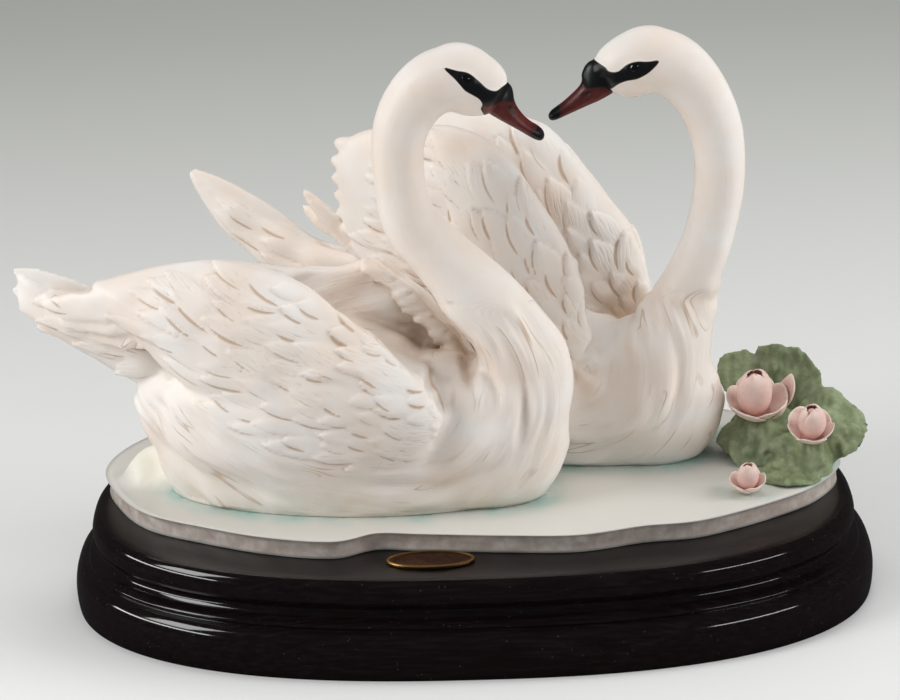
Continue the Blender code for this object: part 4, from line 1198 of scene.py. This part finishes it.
def lacquer_material():
    """Beech moulding stained near black and sprayed with clear lacquer.

    The gloss coat gives long sharp highlights along the mouldings, and fine dust on the
    level top dulls it. The grain runs along the plinth, with pores some 0.6 mm wide.
    """
    colours = bpy.context.scene.swan_colours
    material, tree, shader = start_material("black_lacquered_beech", 0.30)
    place = add_node(tree, "TexCoord").outputs["Object"]
    stretched = add_node(tree, "Mapping", {
        "Scale": (14.0, 220.0, 220.0), "Vector": place,
    }).outputs["Vector"]
    grain = add_node(tree, "TexNoise", {
        "Scale": 3.0, "Detail": 5.0, "Roughness": 0.6, "Vector": stretched,
    }).outputs["Fac"]
    dark = tuple(colours.lacquer)
    brown = tuple(min(1.0, value * 2.6 + 0.004) for value in dark)
    normal = add_node(tree, "NewGeometry").outputs["Normal"]
    upward = add_node(tree, "SeparateXYZ", {"Vector": normal}).outputs[2]
    specks = add_node(tree, "TexNoise", {"Scale": 900.0, "Detail": 2.0, "Vector": place}).outputs["Fac"]
    dust = add_node(tree, "Math", {
        "operation": "MULTIPLY",
        0: add_node(tree, "MapRange", {"Value": upward, "From Min": 0.90, "From Max": 0.99}).outputs[0],
        1: add_node(tree, "MapRange", {"Value": specks, "From Min": 0.4, "From Max": 0.75}).outputs[0],
    }).outputs[0]
    # Stray specks of dust on the mouldings
    motes = add_node(tree, "TexVoronoi", {
        "Scale": 260.0, "Randomness": 1.0, "Vector": place,
    }).outputs["Distance"]
    colour = lay_washes(tree, dark, (
        (grain, 0.45, 0.75, 0.6, brown), (dust, 0.0, 1.0, 0.02, linear("#8A7A76")),
        (motes, 0.07, 0.04, 0.30, linear("#9A908C")),
    ))
    tree.links.new(colour, shader.inputs["Base Color"])
    tree.links.new(
        add_node(tree, "MapRange", {
            "Value": upward, "From Min": 0.90, "From Max": 0.99, "To Min": 0.09, "To Max": 0.36,
        }).outputs[0],
        shader.inputs["Roughness"]
    )
    return material


def build_plinth():
    low, high = PLINTH_LOW, PLINTH_HIGH
    length, depth, height = high.x - low.x, high.y - low.y, high.z - low.z
    profile = smooth_path([
        (0.9 * MM, 0.0, 0), (0.25 * MM, 4.0 * MM, 0), (0.0, 10.5 * MM, 0), (0.9 * MM, 17.0 * MM, 0),
        (3.4 * MM, 21.0 * MM, 0), (7.0 * MM, 22.8 * MM, 0),
    ], 6)
    profile += smooth_path(
        [
            (7.6 * MM, 23.0 * MM, 0), (7.0 * MM, 24.2 * MM, 0), (7.6 * MM, 25.4 * MM, 0),
            (9.4 * MM, 26.1 * MM, 0), (12.2 * MM, 27.4 * MM, 0), (13.9 * MM, 29.6 * MM, 0),
            (13.8 * MM, 31.6 * MM, 0), (12.6 * MM, 33.0 * MM, 0)
        ],
        5
    )
    profile += smooth_path(
        [
            (11.2 * MM, 33.6 * MM, 0), (9.9 * MM, 36.0 * MM, 0), (9.7 * MM, 39.0 * MM, 0),
            (10.5 * MM, 42.4 * MM, 0), (12.2 * MM, 44.9 * MM, 0), (14.1 * MM, 46.0 * MM, 0)
        ],
        6
    )
    profile += [Vector((18 * MM, height, 0)), Vector((60 * MM, height, 0))]
    form = bmesh.new()
    rings = [oval_ring(length / 2 - p.x, depth / 2 - p.x, 2.46, min(p.y, height), 240) for p in profile]
    add_rings(form, rings)
    bmesh.ops.recalc_face_normals(form, faces=form.faces)
    make_piece("moulded_plinth", form, lacquer_material(), ("plinth",))


def brass_material():
    """Stamped brass, oxidised red brown in the recess and rubbed bright on the rim."""
    colours = bpy.context.scene.swan_colours
    material, tree, shader = start_material("stamped_plate_brass", 0.34, 1.0)
    rim = add_node(tree, "Attribute", {"attribute_name": "rim"}).outputs["Fac"]
    place = add_node(tree, "TexCoord").outputs["Object"]
    stains = add_node(tree, "TexNoise", {
        "Scale": 260.0, "Detail": 4.0, "Roughness": 0.65, "Vector": place,
    }).outputs["Fac"]
    colour = lay_washes(tree, linear("#4E2F20"), (
        (stains, 0.35, 0.7, 1.0, linear("#7C5236")), (rim, 0.0, 1.0, 1.0, colours.brass),
    ))
    tree.links.new(colour, shader.inputs["Base Color"])
    bump = add_node(tree, "Bump", {"Strength": 0.25, "Distance": 0.1 * MM, "Height": stains})
    tree.links.new(bump.outputs["Normal"], shader.inputs["Normal"])
    return material


def build_plate():
    low, high = PLATE_LOW, PLATE_HIGH
    length, depth, thick = high.x - low.x, high.y - low.y, high.z - low.z
    middle = (low + high) / 2
    profile = (
        (0.3, 0.0), (0.05, 0.3), (0.0, 0.9), (0.3, 1.4), (0.75, thick / MM), (1.25, thick / MM),
        (1.6, thick / MM - 0.3), (1.9, thick / MM - 0.5), (4.0, thick / MM - 0.5), (8.0, thick / MM - 0.5),
    )
    form = bmesh.new()
    rings = [oval_ring(length / 2 - i * MM, depth / 2 - i * MM, 2.0, h * MM, 96) for i, h in profile]
    add_rings(form, rings)
    bmesh.ops.recalc_face_normals(form, faces=form.faces)
    skin = Skin(form)
    x, y, z = skin.points.T
    skin.store("rim", ramp(thick - 0.42 * MM, thick - 0.25 * MM, z) + (z < thick * 0.5))
    mesh = skin.mesh
    mesh.transform(Matrix.Translation((middle.x, middle.y, low.z)))
    seat_piece("oval_plate", mesh, brass_material(), ("name_plate",))


def pool_material():
    """Resin poured milky white, washed with aqua beside the swans, grey pink on its edge, darkened there in
    part as painted shade.
    """
    colours = bpy.context.scene.swan_colours
    material, tree, shader = start_material("poured_milky_resin", 0.34)
    place = add_node(tree, "TexCoord").outputs["Object"]
    near, side, foam, line = (
        add_node(tree, "Attribute", {"attribute_name": key}).outputs["Fac"]
        for key in ("shore", "side", "foam", "seam")
    )
    clouds = add_node(tree, "TexNoise", {
        "Scale": 42.0, "Detail": 4.0, "Roughness": 0.6, "Vector": place,
    }).outputs["Fac"]
    drift = add_node(tree, "MapRange", {
        "Value": clouds, "From Min": 0.38, "From Max": 0.62, "To Min": 0.25,
    }).outputs[0]
    wash = add_node(tree, "Math", {"operation": "MULTIPLY", 0: near, 1: drift}).outputs[0]
    fine = add_node(tree, "TexNoise", {
        "Scale": 160.0, "Detail": 4.0, "Roughness": 0.6, "Vector": place,
    }).outputs["Fac"]
    # Grey pink on the upright edge, darker in part as painted shade
    grey = add_node(tree, "Math", {
        "operation": "MULTIPLY", 0: side,
        1: add_node(tree, "MapRange", {
            "Value": fine, "From Min": 0.3, "From Max": 0.6, "To Min": 0.35,
        }).outputs[0],
    }).outputs[0]
    tree.links.new(
        add_node(tree, "MapRange", {
            "Value": foam, "From Min": 0.0, "From Max": 1.0, "To Min": 0.34, "To Max": 0.60,
        }).outputs[0],
        shader.inputs["Roughness"]
    )
    colour = lay_washes(tree, colours.water, (
        (wash, 0.0, 1.0, 1.0, colours.teal), (grey, 0.0, 1.0, 1.0, colours.edge),
        (foam, 0.0, 1.0, 1.0, linear("#EDEADB")), (line, 0.0, 1.0, 1.0, linear("#7C9A92")),
    ))
    tree.links.new(colour, shader.inputs["Base Color"])
    bump = add_node(tree, "Bump", {"Strength": 0.25, "Distance": 0.3 * MM, "Height": fine})
    tree.links.new(bump.outputs["Normal"], shader.inputs["Normal"])
    return material


def pool_outline():
    """Wavy rim of the pool as shares of its half length and half depth."""
    shares = (
        (1.00, -0.06), (0.93, -0.39), (0.80, -0.63), (0.60, -0.87), (0.44, -0.93),
        (0.27, -1.03), (0.08, -1.01), (-0.13, -0.96), (-0.26, -0.93), (-0.37, -1.03),
        (-0.54, -0.95), (-0.70, -0.79), (-0.86, -0.58), (-0.95, -0.29), (-1.00, 0.08),
        (-0.95, 0.44), (-0.82, 0.73), (-0.60, 0.90), (-0.34, 0.98), (-0.10, 0.94),
        (0.14, 1.00), (0.40, 0.96), (0.62, 0.86), (0.80, 0.66), (0.94, 0.34),
    )
    return [Vector((x * POOL_HALF[0], y * POOL_HALF[1], 0.0)) for x, y in shares]


def build_pool():
    """Slab with a rounded wavy rim, soft ripples and the low wake behind the tail."""
    rim = smooth_loop(pool_outline(), 12)
    count = len(rim)
    thick = POOL_THICK
    levels = [(0.6, 0.0), (0.1, 1.6), (0.0, 4.0), (0.0, 6.4), (0.35, 8.0), (1.1, 9.0), (2.2, 9.4)]
    rings = []
    for inset, height in levels:
        ring = []
        for index, point in enumerate(rim):
            along = (rim[(index + 1) % count] - rim[index - 1]).normalized()
            ring.append(point + Vector((-along.y, along.x, 0)) * inset + Vector((0, POOL_SHIFT, height)))
        rings.append(ring)
    top = rings[-1]
    centre = Vector((0, POOL_SHIFT, thick))
    steps = 44
    for step in range(1, steps):
        share = step / steps
        rings.append([point.lerp(centre, share) for point in top])
    form = bmesh.new()
    add_rings(form, rings)
    bmesh.ops.recalc_face_normals(form, faces=form.faces)
    skin = Skin(form)
    x, y, z = skin.points.T
    level = ramp(thick - 1.0, thick, z)
    # Distance to the nearest casting, in blocks that fit the memory
    block = 4000
    shore = np.full(len(x), 99.0)
    for name in ("front_swan", "rear_swan", "lily_pads", "lily_small"):
        foot = np.array([tuple(v.co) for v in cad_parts[name].data.vertices])
        foot = foot[foot[:, 2] < CAST_BASE + 0.5 * MM][:, :2] / MM
        ring = foot[:, None, :]
        for start in range(0, len(x), block):
            stop = start + block
            gap = np.sqrt(((ring - skin.points[None, start:stop, :2]) ** 2).sum(2)).min(0)
            shore[start:stop] = np.minimum(shore[start:stop], gap)
    ripple = skin.noise(np.column_stack((x * 0.035, y * 0.06, z * 0 + 2.0)))
    chop = skin.noise(np.column_stack((x * 0.10, y * 0.16, z * 0 + 7.0)))
    side = (1 - level) * ramp(0.0, 1.0, z)
    waves = skin.noise(np.column_stack((x * 0.09, y * 0.09, z * 0.25)))
    lift = (ripple * 0.7 + chop * 0.35 - 0.35) * level
    off = np.sqrt(((x + 152) / 24.0) ** 2 + ((y - 10) / 25.0) ** 2)
    off += skin.noise(np.column_stack((x * 0.08, y * 0.08, z * 0 + 4.0))) * 0.25
    wake = np.clip(1 - off ** 2, 0, 1) ** 1.2 * 19.0
    skin.points[:, 2] += np.maximum(lift, wake * level)
    normals = skin.normals()
    skin.points[:, :2] += (normals[:, :2] * (waves * 1.1 * side)[:, None])
    skin.store("shore", ramp(17, 1.0, shore) * level)
    skin.store("seam", ramp(1.9, 0.5, shore) * level * 0.5)
    skin.store("side", side)
    skin.store("foam", ramp(1.0, 5.0, wake))
    place = Matrix.Translation((0, 0, POOL_BASE))
    seat_piece("poured_pool", skin.seated(place), pool_material(), ("pool",))


# Water lilies

def leaf_material():
    """Resin leaves painted sage and wiped with olive: satin, and darker in the folds, where painted shade
    follows occlusion.
    """
    colours = bpy.context.scene.swan_colours
    material, tree, shader = start_material("painted_leaf_resin", 0.48)
    place = add_node(tree, "TexCoord").outputs["Object"]
    fold = add_node(tree, "Attribute", {"attribute_name": "fold"}).outputs["Fac"]
    clouds = add_node(tree, "TexNoise", {
        "Scale": 80.0, "Detail": 5.0, "Roughness": 0.68, "Vector": place,
    }).outputs["Fac"]
    colour = lay_washes(tree, colours.leaf, (
        (clouds, 0.42, 0.62, 0.8, colours.leaf_dark), (clouds, 0.42, 0.30, 0.6, linear("#B7BEA6")),
        # Painted shade: the olive deepens in the folds by occlusion
        (fold, 0.0, 1.0, 1.0, tuple(value * 0.55 for value in colours.leaf_dark)),
    ))
    tree.links.new(colour, shader.inputs["Base Color"])
    bump = add_node(tree, "Bump", {"Strength": 0.4, "Distance": 0.4 * MM, "Height": clouds})
    tree.links.new(bump.outputs["Normal"], shader.inputs["Normal"])
    return material


def petal_material(name):
    """Resin petals painted pale pink, cream at their edges and deeper pink in the cup."""
    colours = bpy.context.scene.swan_colours
    material, tree, shader = start_material(name, 0.44)
    rise = add_node(tree, "Attribute", {"attribute_name": "rise"}).outputs["Fac"]
    place = add_node(tree, "TexCoord").outputs["Object"]
    clouds = add_node(tree, "TexNoise", {"Scale": 240.0, "Detail": 3.0, "Vector": place}).outputs["Fac"]
    colour = lay_washes(tree, colours.petal_core, (
        (rise, 0.1, 0.75, 1.0, colours.petal), (rise, 0.8, 1.0, 0.8, linear("#F3E6DA")),
        (clouds, 0.4, 0.7, 0.4, colours.petal_core),
    ))
    tree.links.new(colour, shader.inputs["Base Color"])
    return material


def close_sheets(form, outer, inner, border):
    """Face two grids of points outwards and join them along the border indices."""
    for flip, layers in ((False, outer), (True, inner)):
        for lower, upper in zip(layers, layers[1:]):
            for column in range(len(lower) - 1):
                corners = [lower[column], lower[column + 1], upper[column + 1], upper[column]]
                form.faces.new(corners[::-1] if flip else corners)
    for first, second in zip(border, border[1:] + border[:1]):
        form.faces.new((outer[first[0]][first[1]], inner[first[0]][first[1]],
                        inner[second[0]][second[1]], outer[second[0]][second[1]]))


def add_leaf(form, centre, radii, tilt, spin, cup, wave, phase, thickness):
    """Round leaf, cupped and waved, with a lobed rim, tilted towards the direction spin."""
    rings, spokes = 12, 72
    lean = Vector((math.cos(math.radians(spin)), math.sin(math.radians(spin)), 0))
    turn = Quaternion(Vector((0, 0, 1)).cross(lean), math.radians(tilt)).to_matrix()
    layers = []
    for hand in (1, -1):
        for ring in range(rings + 1) if hand > 0 else range(rings, -1, -1):
            share = ring / rings
            line = []
            for spoke in range(spokes):
                angle = 2 * math.pi * spoke / spokes
                lobe = 1 + 0.06 * math.sin(3 * angle + phase) + 0.04 * math.sin(5 * angle + 2 * phase)
                lobe += 0.02 * math.sin(9 * angle + phase)
                lift = cup * share ** 2 + wave * share ** 2 * math.sin(3 * angle + 1 + phase)
                lift += thickness * 0.5 * hand * math.sqrt(
                    max(0.0, 1 - max(0.0, (share - 0.88) / 0.12) ** 2)
                )
                reach = max(share, 0.02) * lobe
                line.append(Vector(centre) + turn @ Vector(
                    (radii[0] * reach * math.cos(angle), radii[1] * reach * math.sin(angle), lift)))
            layers.append(line)
    add_rings(form, layers)


def build_leaves():
    """Clump of leaves modelled in one mass, with tool marks."""
    leaf = bpy.context.scene.swan_sizes.leaf / MM
    form = bmesh.new()
    for centre, radii, tilt, spin, cup, wave, phase in (
        ((142, 50, 29), (15, 15), -48, 80, 2, 2.0, 0.4), ((161, 44, 26), (20, 22), -58, 70, 3, 3.0, 1.9),
        ((177, 8, 18), (22, 26), -28, 60, -4, 3.2, 3.1), ((148, 16, 15), (25, 18), -16, 60, -5, 2.4, 4.4),
        ((157, -16, 2.2), (17, 15), 0, 0, -1.5, 1.0, 5.2), ((143, 7, 11), (15, 19), -44, 84, -3, 2.0, 2.2),
        ((166, -6, 9), (16, 15), -34, 92, -3, 2.0, 0.9),
    ):
        add_leaf(form, centre, radii, tilt, spin, cup, wave, phase, leaf)
    for centre, radii in (
        ((150, 34, 0), (19, 17, 22)), ((172, 20, 0), (12, 22, 15)), ((160, 2, 0), (14, 15, 6)),
        ((145, 14, 0), (11, 12, 21.4)), ((168.5, -9, 0), (11, 10, 19.2))
    ):
        add_ball(form, centre, radii)
    form = fused(form, 0.85, 2)
    keep_largest(form)
    cut_flat(form, 0.0)
    keep_largest(form)
    skin = Skin(form)
    free = ramp(0.3, 1.5, skin.points[:, 2])
    skin.relax(0.9 * free, 5)
    marks = skin.noise(
        skin.points * np.array((0.34, 0.15, 0.15))
    ) * 1.0 + skin.noise(skin.points * 0.10) * 1.5
    skin.push(marks * free)
    skin.relax(0.2 * free, 1)
    # Painted shade in the folds: occlusion, less on the tool marks' ridges
    skin.store("fold", np.clip(skin.blurred(skin.recess(16.0), 2) * 1.9 - 0.12 - marks * 0.35, 0, 1))
    place = Matrix.Translation((0, 0, CAST_BASE))
    seat_piece("lily_leaves", skin.seated(place), leaf_material(), ("lily_pads",))


def add_petal(form, tag, centre, radius, height, spin, span, reach, flare, thickness, tint):
    """Rounded petal on a bowl of the given radius and height, open to the angle reach."""
    rows, columns = 14, 15
    droop = 0.16 if reach < 120 else 0.05
    sheets = []
    for hand in (0.5, -0.5):
        layers = []
        for row in range(rows + 1):
            share = row / rows
            wide = span * (0.45 + 0.55 * math.sin(math.pi * min(1.0, 0.15 + share * 0.62)))
            line = []
            for column in range(columns):
                across = column / (columns - 1) * 2 - 1
                polar = math.radians(reach) * share * (
                    1 - droop * abs(across) ** 3 + 0.02 * math.sin(5 * across + spin)
                )
                swing = spin + across * wide * (1 - 0.20 * share ** 6)
                thin = thickness * hand * (1 - 0.55 * share ** 4) * (1 - 0.35 * across ** 4)
                ring = radius * math.sin(polar) + flare * share ** 5 + thin * math.sin(polar) + 0.3
                rise = height * (1 - math.cos(polar)) / 2 - thin * math.cos(polar)
                rise += 0.25 * math.sin(4 * across + 2 * spin) * share
                vert = form.verts.new(
                    Vector(centre) + Vector((ring * math.cos(swing), ring * math.sin(swing), rise))
                )
                vert[tag] = tint[0] + (tint[1] - tint[0]) * share
                line.append(vert)
            layers.append(line)
        sheets.append(layers)
    border = [(0, c) for c in range(columns)] + [(r, columns - 1) for r in range(1, rows + 1)]
    border += [(rows, c) for c in range(columns - 2, -1, -1)] + [(r, 0) for r in range(rows - 1, 0, -1)]
    close_sheets(form, *sheets, border)


def build_flower(name, width, place, tilt, spin, node, standing):
    """Low cup of round petals about a bud of wrapped ones."""
    form = bmesh.new()
    tag = form.verts.layers.float.new("rise")
    half = width / 2
    thick = bpy.context.scene.swan_sizes.petal / MM
    for index in range(5):
        angle = spin + index * 2 * math.pi / 5
        radius = half * (0.86 + 0.05 * (index % 2))
        add_petal(form, tag, (0, 0, 0), radius, half * (1.85 + 0.14 * math.sin(index * 2)), angle, 1.0,
                  76 + 6 * math.sin(index * 3), half * 0.06, thick, (0.25, 1.0))
    for index in range(3):
        angle = spin - 1.9 + index * 2 * math.pi / 3
        spot = (
            half * (0.06 * math.cos(angle) - 0.10 * standing), half * 0.06 * math.sin(angle), half * 0.10
        )
        add_petal(form, tag, spot, half * (0.49 - 0.05 * index), half * (1.52 - 0.04 * index), angle, 1.5,
                  172 - 7 * index, 0.0, thick, (0.0, 0.75))
    if standing:
        add_petal(
            form, tag, (half * 0.40, half * 0.05, half * 0.10), half * 0.66, half * 1.75, 0.25, 0.85, 102,
            0.3, thick, (0.1, 1.0)
        )
        add_petal(
            form, tag, (half * 0.34, -half * 0.16, half * 0.05), half * 0.50, half * 1.2, -0.5, 0.8, 98,
            0.2, thick, (0.1, 0.9)
        )
    bmesh.ops.recalc_face_normals(form, faces=form.faces)
    heart = len(form.verts)
    add_ball(
        form, (-0.10 * half * standing, 0, half * 0.86), (half * 0.34, half * 0.34, half * 0.62), None,
        24, 14
    )
    add_ball(form, (0, 0, half * 0.10), (half * 0.42, half * 0.42, half * 0.20), None, 24, 12)
    form.verts.ensure_lookup_table()
    for vert in form.verts[heart:]:
        vert[tag] = 0.12
    turn = Quaternion((1, 0, 0), math.radians(tilt)).to_matrix().to_4x4()
    seat = Matrix.Translation(Vector(place)) @ turn
    make_piece(name, form, petal_material("painted_petal_resin_" + node), (node,),
               place=TO_METRES @ seat)


def build_lilies():
    build_leaves()
    base = CAST_BASE / MM
    build_flower("large_flower", 34, (144, 17, base + 21.5), 20, 0.3, "lily_large", True)
    build_flower(
        "medium_flower", 25, (168, -9, base + 18.5), 24, 0.9, "lily_medium", False
    )
    build_flower("small_flower", 19, (134.5, -33, base + 1.4), 16, 0.1, "lily_small", False)


# Stage

def paper_material():
    """Seamless paper: matte, with painted shade that darkens it far behind, and dark grey in reflections as
    painted reflection.
    """
    colours = bpy.context.scene.swan_colours
    material, tree, shader = start_material("seamless_paper", 0.9)
    shader.inputs["Specular IOR Level"].default_value = 0.1
    place = add_node(tree, "TexCoord").outputs["Object"]
    depth = add_node(tree, "SeparateXYZ", {"Vector": place}).outputs[1]
    glossy = add_node(tree, "LightPath").outputs["Is Glossy Ray"]
    # Painted shade: the paper darkens with depth
    colour = lay_washes(tree, colours.floor, (
        # Painted reflection: glossy rays see the paper dark grey
        (depth, -0.05, 1.15, 1.0, colours.floor_far_shade), (glossy, 0.0, 1.0, 1.0, linear("#3A3A3A")),
    ))
    tree.links.new(colour, shader.inputs["Base Color"])
    return material


def add_lamp(name, place, target, size, power, size_y=None):
    lamp = bpy.data.lights.new(name, "AREA")
    lamp.energy = power
    lamp.size = size
    if size_y:
        lamp.shape = "RECTANGLE"
        lamp.size_y = size_y
    item = bpy.data.objects.new(name, lamp)
    bpy.context.scene.collection.objects.link(item)
    item.location = place
    item.rotation_euler = (Vector(target) - Vector(place)).to_track_quat("-Z", "Y").to_euler()
    return item


def build_stage():
    form = bmesh.new()
    bmesh.ops.create_grid(form, x_segments=4, y_segments=4, size=6.0)
    mesh = bpy.data.meshes.new("paper_floor")
    form.to_mesh(mesh)
    form.free()
    mesh.materials.append(paper_material())
    floor = bpy.data.objects.new("paper_floor", mesh)
    bpy.context.scene.collection.objects.link(floor)
    add_lamp("key_window", (-1.25, -0.45, 1.15), (0, 0, 0.1), 0.6, 9.6)
    add_lamp("left_strip", (-1.15, -0.35, 0.50), (0, 0, 0.08), 1.1, 4.6, 0.09)
    add_lamp("right_strip", (1.05, -0.75, 0.52), (0, 0, 0.08), 0.7, 1.8, 0.05)
    for name, place, size, power in (("right_fill", (1.25, -0.05, 0.70), 0.7, 9.6),
                                     ("top_panel", (0.1, 0.5, 1.9), 0.9, 9.0)):
        add_lamp(name, place, (0, 0, 0.1), size, power).visible_glossy = False
    world = bpy.data.worlds.new("studio_air")
    bpy.context.scene.world = world
    world.use_nodes = True
    tree = world.node_tree
    background = tree.nodes["Background"]
    background.inputs["Color"].default_value = (*linear("#F4F4F6"), 1.0)
    # The room in front of the figurine is dark, which the lacquer mirrors
    glossy = add_node(tree, "LightPath").outputs["Is Glossy Ray"]
    tree.links.new(
        add_node(tree, "MapRange", {
            "Value": glossy, "From Min": 0.0, "From Max": 1.0, "To Min": 0.31, "To Max": 0.05,
        }).outputs[0],
        background.inputs["Strength"]
    )


def add_camera():
    """Camera of the photograph: pitched 20 degrees down, 1.5 m away, a hair rolled."""
    pitch, roll = math.radians(CAMERA_PITCH), math.radians(CAMERA_ROLL)
    ahead = Vector((0, math.cos(pitch), -math.sin(pitch)))
    level = Vector((1, 0, 0))
    upright = level.cross(ahead)
    right = level * math.cos(roll) + upright * math.sin(roll)
    above = upright * math.cos(roll) - level * math.sin(roll)
    camera = bpy.data.cameras.new("studio_camera")
    camera.sensor_width = SENSOR_WIDTH
    camera.lens = SENSOR_WIDTH * FOCAL_PIXELS / PHOTO_WIDTH
    camera.clip_end = 20
    item = bpy.data.objects.new("studio_camera", camera)
    bpy.context.scene.collection.objects.link(item)
    place = Matrix((right, above, -ahead)).transposed().to_4x4()
    place.translation = Vector(CAMERA_AIM) - ahead * CAMERA_AWAY
    item.matrix_world = place
    bpy.context.scene.camera = item


# Operators, panel and registration

class SWAN_OT_plinth(bpy.types.Operator):
    """Add the moulded plinth and its oval plate."""

    bl_idname = "swan.plinth"
    bl_label = "Plinth and plate"

    def execute(self, context):
        build_plinth()
        build_plate()
        return {"FINISHED"}


class SWAN_OT_pool(bpy.types.Operator):
    """Add the poured pool."""

    bl_idname = "swan.pool"
    bl_label = "Pool"

    def execute(self, context):
        build_pool()
        return {"FINISHED"}


class SWAN_OT_front(bpy.types.Operator):
    """Add the front swan with its bill and eyes."""

    bl_idname = "swan.front"
    bl_label = "Front swan"

    def execute(self, context):
        build_front_swan()
        return {"FINISHED"}


class SWAN_OT_rear(bpy.types.Operator):
    """Add the rear swan with its bill and eyes."""

    bl_idname = "swan.rear"
    bl_label = "Rear swan"

    def execute(self, context):
        build_rear_swan()
        return {"FINISHED"}


class SWAN_OT_lilies(bpy.types.Operator):
    """Add the lily leaves and the three flowers."""

    bl_idname = "swan.lilies"
    bl_label = "Water lilies"

    def execute(self, context):
        build_lilies()
        return {"FINISHED"}


class SWAN_OT_stage(bpy.types.Operator):
    """Add the paper floor, the lamps and the camera."""

    bl_idname = "swan.stage"
    bl_label = "Stage"

    def execute(self, context):
        bpy.context.scene.view_settings.view_transform = "Standard"
        build_stage()
        add_camera()
        return {"FINISHED"}


OPERATORS = (
    SWAN_OT_plinth, SWAN_OT_pool, SWAN_OT_front, SWAN_OT_rear, SWAN_OT_lilies, SWAN_OT_stage,
)


class SWAN_PT_panel(bpy.types.Panel):
    """Sidebar panel with the pieces, sizes and colours."""

    bl_label = "Swan figurine"
    bl_space_type = "VIEW_3D"
    bl_region_type = "UI"
    bl_category = "Swans"

    def draw(self, context):
        column = self.layout.column()
        for operator in OPERATORS:
            column.operator(operator.bl_idname)
        for group in (context.scene.swan_sizes, context.scene.swan_colours):
            for name in group.__annotations__:
                column.prop(group, name)


CLASSES = (SwanSizes, SwanColours, *OPERATORS, SWAN_PT_panel)


def register():
    for item in CLASSES:
        bpy.utils.register_class(item)
    bpy.types.Scene.swan_sizes = bpy.props.PointerProperty(type=SwanSizes)
    bpy.types.Scene.swan_colours = bpy.props.PointerProperty(type=SwanColours)


def unregister():
    del bpy.types.Scene.swan_colours
    del bpy.types.Scene.swan_sizes
    for item in reversed(CLASSES):
        bpy.utils.unregister_class(item)


def main():
    register()
    bpy.ops.swan.plinth()
    bpy.ops.swan.pool()
    bpy.ops.swan.front()
    bpy.ops.swan.rear()
    bpy.ops.swan.lilies()
    bpy.ops.swan.stage()


if __name__ == "__main__":
    main()
